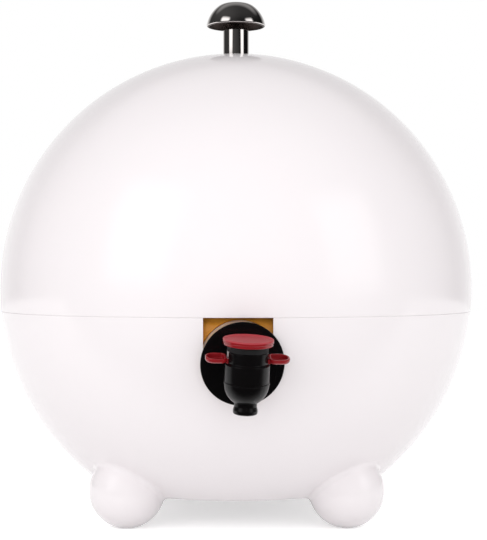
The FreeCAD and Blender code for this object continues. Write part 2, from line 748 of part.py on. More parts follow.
def make_diaphragm():
    """Rubber diaphragm: a bead on the yoke, a springy wall up under the button and a hub on the stem."""
    body = new_body("diaphragm")
    rim = "(barrel_top + seal_gap)"
    hub_top = f"({BUTTON_UNDERSIDE} - button_boss_depth - diaphragm_hub_gap)"
    hub_foot = f"({hub_top} - diaphragm_hub_height)"
    bead_top = f"({YOKE_TOP} + seal_gap)"
    wall_inner = "(barrel_radius - seal_gap - diaphragm_wall)"
    turn_about(body, "bellows", [
        (f"{YOKE_RADIUS} - diaphragm_bead_width", bead_top),
        (YOKE_RADIUS, bead_top),
        (YOKE_RADIUS, rim),
        ("barrel_radius - seal_gap", rim),
        ("barrel_radius - seal_gap", "diaphragm_top"),
        (wall_inner, "diaphragm_top"),
        ("diaphragm_hub_radius", hub_top),
        ("valve_stem_radius + seal_gap", hub_top),
        ("valve_stem_radius + seal_gap", hub_foot),
        ("diaphragm_hub_radius", hub_foot),
        (wall_inner, "diaphragm_top - diaphragm_wall"),
        (wall_inner, f"{rim} + diaphragm_wall"),
        (f"{YOKE_RADIUS} - diaphragm_bead_width", rim),
    ])
    return body


def make_valve_stem():
    """Rod from the push button's socket down through the diaphragm and the seat to the seal."""
    body = new_body("valve_stem")
    seal_top = f"({SEAT_BOTTOM} - seal_gap)"
    turn_about(body, "rod", [
        ("0", f"{seal_top} - seal_thickness"),
        ("valve_stem_radius", f"{seal_top} - seal_thickness"),
        ("valve_stem_radius", BUTTON_UNDERSIDE),
        ("0", BUTTON_UNDERSIDE),
    ])
    return body


def make_valve_seal():
    """Rubber disc on the foot of the stem that closes the seat from below."""
    body = new_body("valve_seal")
    seal_top = f"({SEAT_BOTTOM} - seal_gap)"
    turn_about(body, "disc", [
        ("valve_stem_radius", seal_top),
        ("seal_radius", seal_top),
        ("seal_radius", f"{seal_top} - seal_thickness / 2"),
        ("valve_stem_radius + seal_thickness / 2", f"{seal_top} - seal_thickness"),
        ("valve_stem_radius", f"{seal_top} - seal_thickness"),
    ])
    return body


def turn_on_passage(body, name, corners, kind="Revolution"):
    """Turn an outline, given as (distance behind the barrel, radius) corners, about the passage's axis."""
    sketch = draw_outline(new_sketch(body, f"{name}_outline", "YZ_Plane"), corners)
    feature = body.newObject(f"PartDesign::{kind}", name)
    feature.Profile = sketch
    feature.ReferenceAxis = (sketch, ["H_Axis"])
    feature.Angle = 360
    doc.recompute()
    return feature


def make_bag_gland():
    """Pale plastic gland welded into the bag: two flanges and the neck between them, bored for the tap."""
    body = new_body("bag_gland")
    bore = "(spigot_radius + gland_fit)"
    front = f"({DISC_BACK} + gland_gap)"
    turn_on_passage(body, "gland", [
        (front, bore),
        (GLAND_END, bore),
        (GLAND_END, "gland_rear_radius"),
        (GLAND_REAR, "gland_rear_radius"),
        (GLAND_REAR, "gland_neck_radius"),
        (f"{front} + gland_front_thickness", "gland_neck_radius"),
        (f"{front} + gland_front_thickness", "gland_front_radius"),
        (front, "gland_front_radius"),
    ])
    return body


def make_wine_bag(tap_stance):
    """Filled wine bag lying in the bowl, its film pressed round the gland; one closed soft solid."""
    fill = new_body("bag_fill")
    shoulder = "sqrt(bag_round ^ 2 - bag_shoulder_drop ^ 2)".replace("bag_round", BAG_RADIUS)
    base_radius = f"sqrt({BAG_RADIUS} ^ 2 - {BAG_BASE} ^ 2)"
    crown = f"(({shoulder} ^ 2 + bag_crown_height ^ 2) / 2 / bag_crown_height)"
    form = turn_about(fill, "filled_form", [
        ("0", f"-{BAG_BASE}"),
        (base_radius, f"-{BAG_BASE}"),
        (shoulder, "-bag_shoulder_drop", BAG_RADIUS, "left"),
        ("0", "bag_crown_height - bag_shoulder_drop", crown, "left"),
    ])
    soften(fill, "shoulder_round", form, ring_at(shoulder, "-bag_shoulder_drop"), "bag_shoulder_blend")
    soften(fill, "base_round", fill.Tip, ring_at(base_radius, f"-{BAG_BASE}"), "bag_base_blend")
    bind(fill, "Placement.Base.z", "floor_height")
    recess = doc.addObject("Part::Cylinder", "gland_recess")
    bind(recess, "Radius", "gland_rear_radius + bag_clearance")
    bind(recess, "Height", "bag_recess_depth")
    mouth = value_of(sized(f"{GLAND_END} + gland_gap"))
    towards_tap = FreeCAD.Rotation(FreeCAD.Vector(1, 0, 0), 90)
    recess.Placement = tap_stance * FreeCAD.Placement(FreeCAD.Vector(0, mouth, 0), towards_tap)
    bag = doc.addObject("Part::Cut", "wine_bag")
    bag.Base = fill
    bag.Tool = recess
    bag.Label = "wine_bag"
    doc.recompute()
    return bag


def tap_stance_of_sheet():
    """Where the barrel's axis crosses the passage's, and how the tap leans and turns in the notch."""
    turn = FreeCAD.Rotation(FreeCAD.Vector(0, 0, 1), value_of("sizes.tap_yaw"))
    lean = FreeCAD.Rotation(FreeCAD.Vector(1, 0, 0), value_of("sizes.tap_pitch"))
    roll = FreeCAD.Rotation(FreeCAD.Vector(0, 1, 0), value_of("sizes.tap_roll"))
    stance = turn * lean * roll
    disc = FreeCAD.Vector(
        value_of("sizes.tap_shift_right"),
        value_of(sized("-sqrt(ball_radius ^ 2 - notch_drop ^ 2) - tap_disc_stand_off")),
        value_of(sized("floor_height - notch_drop - tap_drop")),
    )
    reach = FreeCAD.Vector(0, value_of("sizes.barrel_to_disc"), 0)
    return FreeCAD.Placement(disc - stance.multVec(reach), stance)


ball_pieces = [
    make_lower_shell(),
    make_upper_shell(),
    make_knob_stem(),
    make_knob_cap(),
    make_knob_washer(),
    make_knob_screw(),
]
tap_pieces = [
    make_tap_body(),
    make_tap_nozzle(),
    make_wing_yoke(),
    make_push_button(),
    make_diaphragm(),
    make_valve_stem(),
    make_valve_seal(),
    make_bag_gland(),
]
stance = tap_stance_of_sheet()
for piece in ball_pieces:
    bind(piece, "Placement.Base.z", "floor_height")
for piece in tap_pieces:
    piece.Placement = stance
pieces = ball_pieces + tap_pieces + [make_wine_bag(stance)]
doc.recompute()

for item in doc.Objects:
    if "Invalid" in item.State or "Error" in item.State:
        raise RuntimeError(f"{item.Label} failed: {item.State}")
os.makedirs("parts", exist_ok=True)
for piece in pieces:
    shape = piece.Shape
    if shape.isNull() or not shape.isValid() or len(shape.Solids) != 1:
        raise RuntimeError(f"{piece.Label} is not one valid solid")
    shape.exportStep(f"parts/{piece.Label}.step")
    print(f"{piece.Label}: {shape.Volume:.1f} mm3")
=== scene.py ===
"""Dress the packed wine dispenser: a glossy white ball on ball feet, its metal knob, press tap and bag.

Metres, +Z up, the tap towards -Y. The origin is where the ball's upright axis meets the floor.
"""
import contextlib
import math

import bmesh
import bpy
import numpy as np
from mathutils import Matrix, Vector, bvhtree


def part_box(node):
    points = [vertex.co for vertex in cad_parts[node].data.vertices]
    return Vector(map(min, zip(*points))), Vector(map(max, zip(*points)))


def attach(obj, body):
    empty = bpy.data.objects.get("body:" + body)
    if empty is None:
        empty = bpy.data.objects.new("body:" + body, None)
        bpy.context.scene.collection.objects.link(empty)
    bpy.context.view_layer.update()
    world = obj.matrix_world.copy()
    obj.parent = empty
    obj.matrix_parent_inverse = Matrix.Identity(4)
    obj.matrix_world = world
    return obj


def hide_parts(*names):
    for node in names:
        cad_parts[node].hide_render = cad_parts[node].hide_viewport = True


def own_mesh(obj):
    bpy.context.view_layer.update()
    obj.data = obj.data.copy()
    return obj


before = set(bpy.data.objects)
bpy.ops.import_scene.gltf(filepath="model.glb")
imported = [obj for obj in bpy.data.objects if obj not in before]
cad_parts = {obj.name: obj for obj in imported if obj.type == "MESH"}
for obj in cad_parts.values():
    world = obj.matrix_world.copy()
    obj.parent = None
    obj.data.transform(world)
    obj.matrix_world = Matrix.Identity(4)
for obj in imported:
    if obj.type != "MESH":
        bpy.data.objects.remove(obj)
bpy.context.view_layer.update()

bl_info = {
    "name": "Ball Wine Dispenser",
    "version": (1, 0, 0),
    "blender": (4, 5, 0),
    "location": "View3D > Sidebar > Dispenser",
    "description": "Builds the pieces and finishes of a ball-shaped wine dispenser on its packed frame",
    "category": "Object",
}

DOME_LOW, DOME_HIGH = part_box("upper_shell")
BALL_RADIUS = round((DOME_HIGH.x - DOME_LOW.x) / 2, 4)


def length(name, description, default):
    return bpy.props.FloatProperty(
        name=name, description=description, default=default, min=0, unit="LENGTH", precision=5
    )


def count(name, description, default):
    return bpy.props.IntProperty(name=name, description=description, default=default, min=3)


def angle(name, description, degrees):
    return bpy.props.FloatProperty(
        name=name, description=description, default=math.radians(degrees), subtype="ANGLE"
    )


def colour(name, description, default):
    return bpy.props.FloatVectorProperty(
        name=name, description=description, default=default, size=3, min=0, max=1, subtype="COLOR"
    )


def share(name, description, default, top=1.0):
    return bpy.props.FloatProperty(name=name, description=description, default=default, min=0, max=top)


class BallSizes(bpy.types.PropertyGroup):
    """Bowl, dome and feet."""

    radius: length("Radius", "Outside radius of the ball", BALL_RADIUS)
    wall: length("Wall", "Thickness of both shells", 0.003)
    centre_height: length("Centre height", "Ball's centre above the floor", 0.137)
    seam_drop: length("Seam drop", "Seam between the shells below the ball's centre", 0.0133)
    seam_round: length("Seam round", "Rounding of the two edges that meet at the seam", 0.0004)
    base_drop: length("Base drop", "Flat base below the ball's centre", 0.12)
    base_round: length("Base round", "Rounding where the round wall turns into the base", 0.012)
    lip_rise: length("Lip rise", "Bowl's inner lip above the seam", 0.005)
    lip_wall: length("Lip wall", "Thickness of the lip", 0.0013)
    lip_gap: length("Lip gap", "Room between the lip and the dome", 0.0001)
    lip_headroom: length("Lip headroom", "Room over the lip inside the dome", 0.0005)
    foot_radius: length("Foot radius", "Radius of each ball foot", 0.022)
    foot_circle: length("Foot circle", "Radius of the circle that the feet stand on", 0.0898)
    foot_flat: length("Foot flat", "Radius of the flat that each foot stands on", 0.005)
    foot_blend: length("Foot blend", "Rounding where a foot meets the bowl", 0.003)
    notch_half: length("Notch half width", "Half the width of the notch for the tap", 0.0185)
    notch_drop: length("Notch drop", "Centre of the notch's round end below the ball's centre", 0.0371)
    knob_seat: length("Knob seat", "Radius of the flat under the knob's post", 0.009)
    boss_radius: length("Boss radius", "Radius of the boss inside the dome", 0.012)
    boss_depth: length("Boss depth", "Depth of the boss inside the dome", 0.0013)
    screw_hole: length("Screw hole", "Radius of the dome's screw hole", 0.00275)
    steps: count("Steps", "Steps round the ball", 240)
    white: colour("White", "Colour of the moulded shells", (0.905, 0.858, 0.872))


class KnobSizes(bpy.types.PropertyGroup):
    """Post and mushroom cap."""

    post_radius: length("Post radius", "Radius of the turned post", 0.008)
    post_bore: length("Post bore", "Radius of the hole through the post", 0.0032)
    post_show: length("Post show", "Rim of the cap above the top of the ball", 0.0178)
    post_into_cap: length("Post into cap", "Depth that the post goes into the cap's boss", 0.0014)
    cap_radius: length("Cap radius", "Radius of the cap's round side", 0.01855)
    cap_drop: length("Cap drop", "Centre of the round side below the rim", 0.00215)
    cap_height: length("Cap height", "Top of the cap above its rim", 0.01515)
    cap_wall: length("Cap wall", "Thickness of the cap", 0.0016)
    cap_rim_round: length("Rim round", "Rounding of the cap's rim", 0.0012)
    crown_arc: length("Crown arc", "Radius of the flattened crown", 0.045)
    crown_spread: length("Crown spread", "Where the crown ends, from the axis", 0.006)
    shoulder_spread: length("Shoulder spread", "Where the round side ends, from the axis", 0.0115)
    shoulder_arc: length("Shoulder arc", "Radius between crown and round side", 0.0113)
    boss_radius: length("Boss radius", "Radius of the threaded boss inside the cap", 0.006)
    screw_radius: length("Screw radius", "Radius of the thread in the boss", 0.0025)
    screw_reach: length("Screw reach", "End of the thread above the cap's rim", 0.0113)
    steps: count("Steps", "Steps round the knob", 160)
    chrome: colour("Metal", "Colour of the polished metal", (0.66, 0.625, 0.61))


class TapSizes(bpy.types.PropertyGroup):
    """Press tap and gland. Heights are along the barrel, from where it crosses the passage."""

    shift_right: length("Shift right", "Tap's axis right of the ball's", 0.00235)
    drop: length("Drop", "Tap's axis below the centre of the notch's round end", 0.0004)
    stand_off: length("Stand off", "Front of the disc before the ball's wall", 0.0048)
    yaw: angle("Yaw", "Turn of the tap about the upright axis", 6.9)
    pitch: angle("Pitch", "Lean of the tap towards the viewer", 8.0)
    roll: angle("Roll", "Sideways lean of the tap", 1.5)
    disc_radius: length("Disc radius", "Radius of the round disc", 0.02235)
    disc_thickness: length("Disc thickness", "Thickness of the round disc", 0.0016)
    disc_round: length("Disc round", "Rounding of the disc's rim", 0.0005)
    disc_back: length("Barrel to disc", "Front of the disc behind the barrel's axis", 0.017)
    barrel_radius: length("Barrel radius", "Outside radius of the barrel", 0.01075)
    barrel_wall: length("Barrel wall", "Thickness of the barrel", 0.0013)
    barrel_top: length("Barrel top", "Top of the barrel", 0.0103)
    step_top: length("Step top", "Where the barrel starts to widen", 0.0045)
    step_height: length("Step height", "Height of the widening", 0.001)
    skirt_radius: length("Skirt radius", "Radius of the barrel's lower part and the bowl under it", 0.0117)
    seat_drop: length("Seat drop", "Top of the valve seat below the crossing", 0.0044)
    seat_thickness: length("Seat thickness", "Thickness of the valve seat", 0.0012)
    seat_hole: length("Seat hole", "Radius of the hole in the seat", 0.0042)
    passage_radius: length("Passage radius", "Outside radius of the passage", 0.0075)
    passage_bore: length("Passage bore", "Radius of the passage's bore", 0.0041)
    spigot_radius: length("Spigot radius", "Outside radius of the spigot in the gland", 0.0119)
    spigot_bore: length("Spigot bore", "Radius of the spigot's bore", 0.0094)
    bead_proud: length("Bead", "How far the weld bead stands out", 0.00035)
    bowl_drop: length("Bowl drop", "Centre of the rounded bowl below the crossing", 0.0065)
    neck_radius: length("Neck radius", "Radius of the spout's neck", 0.0059)
    neck_round: length("Neck round", "Rounding where the neck leaves the bowl", 0.0016)
    neck_flare: length("Neck flare", "Height over which the neck widens to the lip", 0.0019)
    spout_radius: length("Spout radius", "Radius of the spout's lip", 0.0064)
    spout_lip_drop: length("Spout lip drop", "Top of the lip below the crossing", 0.0203)
    spout_round: length("Spout round", "Rounding of the lip's lower edge", 0.0009)
    spout_end: length("Spout end", "End of the spout below the crossing", 0.0224)
    spout_bore: length("Spout bore", "Radius of the spout's bore", 0.0046)
    wing_bottom: length("Wing bottom", "Underside of the finger wings", 0.0044)
    wing_height: length("Wing height", "Height of the finger wings", 0.004)
    wing_root: length("Wing root", "Inner end of a wing from the barrel's axis", 0.0109)
    wing_reach: length("Wing reach", "Outer end of a wing from the barrel's axis", 0.0219)
    wing_half: length("Wing half depth", "Half the depth of a wing, front to back", 0.0053)
    wing_outer: length("Wing outer corner", "Rounding of a wing's outer corners", 0.0049)
    wing_inner: length("Wing inner corner", "Rounding of a wing's inner corners", 0.003)
    wing_wall: length("Wing wall", "Thickness of a wing's tray", 0.0012)
    wing_under: length("Wing underside", "Rounding of a wing's underside", 0.0019)
    wing_rim: length("Wing rim", "Rounding of a wing's rim", 0.0004)
    wing_scoop: length("Wing scoop", "Front of a wing's rim below its rear", 0.0016)
    wing_neck: length("Wing neck", "Half the depth of the neck through the barrel's slot", 0.003)
    yoke_wall: length("Yoke wall", "Thickness of the ring that joins the wings", 0.0015)
    yoke_height: length("Yoke height", "Height of the ring that joins the wings", 0.005)
    button_radius: length("Button radius", "Radius of the thumb cap", 0.01315)
    button_top: length("Button top", "Top of the thumb cap", 0.017)
    button_skirt: length("Button skirt", "Lower end of the thumb cap's skirt", 0.0136)
    button_plate: length("Button plate", "Thickness of the thumb cap's top", 0.001)
    button_dish: length("Button dish", "Depth of the dish in the thumb cap", 0.0006)
    dish_radius: length("Dish radius", "Radius of the dish", 0.0116)
    tier: length("Tier", "Step in the side of the thumb cap", 0.0003)
    tier_height: length("Tier height", "Height of the upper step of the thumb cap", 0.0017)
    button_round: length("Button round", "Rounding of the thumb cap's edges", 0.0005)
    button_gap: length("Button gap", "Room between the thumb cap's skirt and the barrel", 0.00035)
    stem_radius: length("Stem radius", "Radius of the valve stem", 0.0019)
    rubber_top: length("Rubber top", "Top of the diaphragm's wall", 0.0149)
    rubber_wall: length("Rubber wall", "Thickness of the diaphragm", 0.001)
    hub_radius: length("Hub radius", "Radius of the diaphragm's hub", 0.004)
    gland_gap: length("Gland gap", "Room between the disc and the gland", 0.0002)
    gland_front: length("Gland front", "Radius of the gland's front flange", 0.0193)
    gland_thickness: length("Gland thickness", "Thickness of the front flange", 0.001)
    gland_neck: length("Gland neck", "Radius between the gland's flanges", 0.0165)
    gland_rear: length("Gland rear", "Radius of the gland's rear flange", 0.021)
    gland_rear_back: length("Rear flange back", "Rear flange behind the disc's front", 0.0134)
    gland_rear_wall: length("Rear flange wall", "Thickness of the rear flange", 0.0015)
    steps: count("Steps", "Steps round the tap's turned pieces", 128)
    black: colour("Black", "Colour of the tap's housing", (0.0032, 0.0027, 0.003))
    red: colour("Red", "Colour of the thumb cap and wings", (0.26, 0.0062, 0.0105))
    # The paler red of the thumb cap's top is painted sheen.
    sheen_red: colour("Painted sheen red", "Paler colour of the thumb cap's top, painted sheen", (0.43, 0.034, 0.045))
    natural: colour("Natural", "Colour of the gland", (0.78, 0.58, 0.43))


class BagSizes(bpy.types.PropertyGroup):
    """Filled bag in the bowl."""

    gap: length("Gap", "Room between the bag and the bowl", 0.0012)
    shoulder_drop: length("Shoulder drop", "Bag's shoulder below the ball's centre", 0.0095)
    crown: length("Crown", "Rise of the bag's top over its shoulder", 0.0155)
    recess_gap: length("Recess gap", "Room round the gland's rear flange", 0.0006)
    recess_room: length("Recess room", "Room behind the gland's rear flange", 0.0003)
    recess_depth: length("Recess depth", "Depth of the recess that the gland sits in", 0.05)
    voxel: length("Voxel", "Size of the film's mesh before it crumples", 0.0045)
    slack: share("Slack", "Spare film, as a share of the bag's size", 0.05)
    most: length("Most", "Furthest that the film may move as it crumples", 0.004)
    frames: count("Frames", "Frames of the cloth simulation", 20)
    fill: share("Fill", "How full the bag is", 0.9)
    amber: colour("Amber", "Colour of the film over the wine", (0.98, 0.4, 0.03))


class StageSettings(bpy.types.PropertyGroup):
    """Camera, lamps, floor and what the metal mirrors."""

    distance: length("Distance", "Camera from the ball's axis", 0.916)
    eye_height: length("Eye height", "Camera above the floor", 0.1505)
    turn: angle("Turn", "Camera to the left of straight ahead", 0.46)
    lens: bpy.props.FloatProperty(name="Lens", description="Focal length in millimetres", default=98.07)
    shift_right: share("Shift right", "Sideways shift of the picture", 0.0139)
    shift_down: share("Shift down", "Downward shift of the picture", 0.0056)
    front_width: length("Front softbox width", "Width of the softbox over the camera", 0.9)
    front_height: length("Front softbox height", "Height of the softbox over the camera", 0.6)
    front_rise: angle("Front softbox rise", "Front softbox above the ball's centre", 12.0)
    box_distance: length("Softbox distance", "Softboxes from the ball's centre", 1.25)
    left_turn: angle("Left softbox turn", "Left softbox to the left of the camera", 47.5)
    left_rise: angle("Left softbox rise", "Left softbox above the ball's centre", 26.0)
    left_width: length("Left softbox width", "Width of the left softbox", 0.66)
    left_height: length("Left softbox height", "Height of the left softbox", 0.95)
    right_turn: angle("Right softbox turn", "Right softbox to the right of the camera", 56.5)
    right_rise: angle("Right softbox rise", "Right softbox above the ball's centre", 22.0)
    right_width: length("Right softbox width", "Width of the right softbox", 0.58)
    right_height: length("Right softbox height", "Height of the right softbox", 0.86)
    box_light: share("Softbox light", "How strongly the softboxes light the object", 1.5, 20.0)
    right_share: share("Right softbox share", "Right softbox's light as a share of the others'", 0.8)
    box_glow: share("Softbox glow", "Softboxes' brightness in a mirror, 1 being white paper", 1.7, 4.0)
    box_edge: share("Softbox edge", "How softly the softboxes' edges fade in a mirror", 0.35)
    room_light: share("Room light", "Strength of the room's light at the horizon", 0.79, 4.0)
    top_light: share("Top light", "Strength of the room's light from above", 0.68, 4.0)
    floor_size: length("Floor size", "Side of the square floor", 8.0)
    floor_white: share("Floor white", "How pale the floor is", 0.92)
    floor_lift: share("Floor lift", "What lifts the lit floor to white in the picture", 0.5, 4.0)
    sweep_front: length("Sweep front", "Where the white sweep ends in mirrors, before the ball's axis", 0.13)
    sweep_fade: length("Sweep fade", "How far the sweep takes to fade out in mirrors", 0.1)
    studio_size: length("Studio size", "Radius of the dim studio that mirrors show", 2.6)
    studio_left: share("Studio left", "Brightness of its left wall", 0.05)
    studio_right: share("Studio right", "Brightness of its right wall", 0.008)
    studio_front: share("Studio front", "Brightness of its wall behind the camera", 0.045)
    studio_ceiling: share("Studio ceiling", "Brightness of its ceiling", 0.04)


# Meshes


def place(obj, matrix):
    """Put the object's place into its mesh."""
    obj.data.transform(matrix)
    obj.data.update()
    return obj


def new_object(name, mesh):
    obj = bpy.data.objects.new(name, mesh)
    bpy.context.scene.collection.objects.link(obj)
    return obj


def mesh_from(name, points, edges=(), faces=()):
    mesh = bpy.data.meshes.new(name)
    mesh.from_pydata([tuple(p) for p in points], list(edges), list(faces))
    mesh.update()
    return new_object(name, mesh)


@contextlib.contextmanager
def editing(obj):
    """The object's mesh, open for editing and written back at the end."""
    mesh = bmesh.new()
    mesh.from_mesh(obj.data)
    yield mesh
    mesh.to_mesh(obj.data)
    mesh.free()


def points_of(obj):
    """Places of the mesh's points, one row each."""
    points = np.empty(len(obj.data.vertices) * 3)
    obj.data.vertices.foreach_get("co", points)
    return points.reshape(-1, 3)


def set_points(obj, points):
    obj.data.vertices.foreach_set("co", points.ravel())
    obj.data.update()
    return obj


def coat(obj, material):
    """Make this the object's only material."""
    obj.data.materials.clear()
    obj.data.materials.append(material)


def bake_modifiers(obj):
    """Turn the object's modifiers into its plain mesh."""
    bpy.context.view_layer.update()
    graph = bpy.context.evaluated_depsgraph_get()
    mesh = bpy.data.meshes.new_from_object(obj.evaluated_get(graph))
    old = obj.data
    obj.modifiers.clear()
    obj.data = mesh
    mesh.name = obj.name
    if old.users == 0:
        bpy.data.meshes.remove(old)
    return obj


def combine(target, tool, operation):
    """Add the tool's form to the target, or cut it out, and drop the tool."""
    modifier = target.modifiers.new("combine", "BOOLEAN")
    modifier.operation = operation
    modifier.solver = "EXACT"
    modifier.object = tool
    bake_modifiers(target)
    bpy.data.objects.remove(tool)
    return target


def crease(obj, degrees=30.0):
    """Smooth faces, with edges sharper than the angle left crisp."""
    limit = math.radians(degrees)
    with editing(obj) as mesh:
        for face in mesh.faces:
            face.smooth = True
        for edge in mesh.edges:
            edge.smooth = len(edge.link_faces) == 2 and edge.calc_face_angle(math.pi) < limit
    return obj


def arc(across, up, radius, start, end, steps):
    """Points of an arc round (across, up), from one angle in degrees to another."""
    turns = [math.radians(start + (end - start) * step / steps) for step in range(steps + 1)]
    return [(across + radius * math.cos(turn), up + radius * math.sin(turn)) for turn in turns]


def ball_arc(radius, low, high, steps, centre=0.0):
    """Arc of a ball's outline between two heights, from the low one to the high one."""
    start = math.degrees(math.asin((low - centre) / radius))
    end = math.degrees(math.asin((high - centre) / radius))
    return arc(0, centre, radius, start, end, steps)


def rounded(corners, steps=5):
    """Outline through (across, up) corners. A third number rounds a corner."""
    outline = []
    for index, corner in enumerate(corners):
        if len(corner) == 2 or corner[2] == 0:
            outline.append(corner[:2])
            continue
        here = np.array(corner[:2])
        before = np.array(corners[index - 1][:2]) - here
        after = np.array(corners[(index + 1) % len(corners)][:2]) - here
        before, after = before / np.linalg.norm(before), after / np.linalg.norm(after)
        half = math.acos(np.clip(before @ after, -1, 1)) / 2
        middle = before + after
        centre = here + middle / np.linalg.norm(middle) * corner[2] / math.sin(half)
        start, end = here + before * corner[2] / math.tan(half), here + after * corner[2] / math.tan(half)
        first = math.atan2(*(start - centre)[::-1])
        sweep = (math.atan2(*(end - centre)[::-1]) - first + math.pi) % math.tau - math.pi
        for step in range(steps + 1):
            turn = first + sweep * step / steps
            outline.append(tuple(centre + corner[2] * np.array((math.cos(turn), math.sin(turn)))))
    return outline


def add_node(tree, kind, inputs=(), **settings):
    """New node. Each input, by name or number, takes a value, a socket or another node's first output."""
    node = tree.nodes.new(kind)
    for name, value in settings.items():
        setattr(node, name, value)
    for name, value in dict(inputs).items():
        if isinstance(value, bpy.types.Node):
            value = value.outputs[0]
        if isinstance(value, bpy.types.NodeSocket):
            tree.links.new(value, node.inputs[name])
        else:
            node.inputs[name].default_value = value
    return node


def made_once(library):
    """Build a datablock the first time it is asked for, and find it by its name after that."""

    def wrap(build):
        def find(name, *given, **more):
            return getattr(bpy.data, library).get(name) or build(name, *given, **more)

        return find

    return wrap


def math_node(tree, operation, *values):
    """Math node over sockets, nodes or numbers."""
    return add_node(tree, "ShaderNodeMath", dict(enumerate(values)), operation=operation)


@made_once("node_groups")
def turned_tree(name):
    """Geometry Nodes tree that turns an upright outline about the z axis into a closed form."""
    tree = bpy.data.node_groups.new(name, "GeometryNodeTree")
    for label, kind in (("Outline", "Geometry"), ("Steps", "Int"), ("Finish", "Material")):
        tree.interface.new_socket(label, in_out="INPUT", socket_type="NodeSocket" + kind)
    tree.interface.new_socket("Form", in_out="OUTPUT", socket_type="NodeSocketGeometry")
    given = add_node(tree, "NodeGroupInput").outputs

    # One column of grid points for each point of the outline, and one more row than steps to close it
    size = add_node(tree, "GeometryNodeAttributeDomainSize", {"Geometry": given["Outline"]}, component="MESH")
    rows = add_node(tree, "FunctionNodeIntegerMath", {0: given["Steps"], 1: 1}, operation="ADD")
    columns = size.outputs["Point Count"]
    grid = add_node(tree, "GeometryNodeMeshGrid", {"Vertices X": columns, "Vertices Y": rows})

    index = add_node(tree, "GeometryNodeInputIndex")
    column, row = (add_node(tree, "FunctionNodeIntegerMath", {0: index, 1: rows}, operation=operation)
                   for operation in ("DIVIDE_FLOOR", "MODULO"))
    position = add_node(tree, "GeometryNodeInputPosition")
    sample = add_node(tree, "GeometryNodeSampleIndex", {
        "Geometry": given["Outline"], "Value": position, "Index": column,
    }, data_type="FLOAT_VECTOR", domain="POINT")
    part = math_node(tree, "DIVIDE", row, given["Steps"])
    turn = math_node(tree, "MULTIPLY", part, -math.tau)
    swing = add_node(tree, "ShaderNodeVectorRotate", {
        "Vector": sample, "Angle": turn,
    }, rotation_type="Z_AXIS")
    shape = add_node(tree, "GeometryNodeSetPosition", {"Geometry": grid, "Position": swing})
    weld = add_node(tree, "GeometryNodeMergeByDistance", {"Geometry": shape, "Distance": 1e-6})
    realize = add_node(tree, "GeometryNodeRealizeInstances", {"Geometry": weld})
    finish = add_node(tree, "GeometryNodeSetMaterial", {"Geometry": realize, "Material": given["Finish"]})
    add_node(tree, "NodeGroupOutput", {0: finish})
    return tree


def socket_of(tree, name):
    return next(item.identifier for item in tree.interface.items_tree if item.name == name)


def turned(name, outline, steps, material):
    """Closed form turned from (radius, height) points that run upwards on the outside.

    An outline that starts and ends on the axis is a solid form's. Any other is closed into a ring.
    """
    points = [(across, 0, up) for across, up in outline]
    if max(abs(outline[0][0]), abs(outline[-1][0])) > 1e-9:
        points.append(points[0])
    edges = [(i, i + 1) for i in range(len(points) - 1)]
    obj = mesh_from(name, points, edges)
    tree = turned_tree("Turned form")
    modifier = obj.modifiers.new("turned form", "NODES")
    modifier.node_group = tree
    for label, value in (("Steps", steps), ("Finish", material)):
        modifier[socket_of(tree, label)] = value
    bake_modifiers(obj)
    return crease(obj)


def rod(name, radius, low, high, steps=96):
    """Plain cylinder along z, used to cut or to join."""
    return turned(name, [(0, low), (radius, low), (radius, high), (0, high)], steps, None)


def block(name, low, high):
    """Box between two corners, used to cut or to join."""
    low, high = Vector(low), Vector(high)
    stance = Matrix.Translation((high + low) / 2) @ Matrix.Diagonal((*(high - low), 1))
    obj = new_object(name, bpy.data.meshes.new(name))
    with editing(obj) as mesh:
        bmesh.ops.create_cube(mesh, size=1)
        bmesh.ops.transform(mesh, verts=mesh.verts, matrix=stance)
    return obj


def dress(obj, body, slot, *nodes):
    """Attach the piece to its body and hide the frame's nodes that it stands for. The slot is not used."""
    if nodes:
        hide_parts(*nodes)
    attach(obj, body)
    return obj


def tap_stance():
    """From the tap's own frame to the object's."""
    tap = bpy.context.scene.dispenser_tap
    turn = (Matrix.Rotation(tap.yaw, 4, "Z") @ Matrix.Rotation(tap.pitch, 4, "X")
            @ Matrix.Rotation(tap.roll, 4, "Y"))
    ball = bpy.context.scene.dispenser_ball
    reach = math.sqrt(ball.radius ** 2 - ball.notch_drop ** 2) + tap.stand_off
    disc = Vector((tap.shift_right, -reach, ball.centre_height - ball.notch_drop - tap.drop))
    return Matrix.Translation(disc - turn @ Vector((0, tap.disc_back, 0))) @ turn


# Roundings of small moulded edges, and the room between pieces that fit together or that touch
FINE_EDGE, EDGE, SOFT_EDGE = 0.0002, 0.0003, 0.0004
FIT, TOUCH = 0.0001, 0.00005

# Turns a form's own z axis along the passage, away from the viewer
ALONG_PASSAGE = Matrix.Rotation(-math.pi / 2, 4, "X")


# Finishes


def shader_group(name, inputs, outputs):
    """New shader group, its input sockets and the place on the object. None stands for a colour's default."""
    group = bpy.data.node_groups.new(name, "ShaderNodeTree")
    for label, default in inputs.items():
        kind = "Color" if default is None else "Vector" if isinstance(default, tuple) else "Float"
        socket = group.interface.new_socket(label, in_out="INPUT", socket_type="NodeSocket" + kind)
        if default is not None:
            socket.default_value = default
    for label in outputs:
        kind = "Color" if label == "Colour" else "Float"
        group.interface.new_socket(label, in_out="OUTPUT", socket_type="NodeSocket" + kind)
    place_on = add_node(group, "ShaderNodeTexCoord").outputs["Object"]
    return group, add_node(group, "NodeGroupInput").outputs, place_on


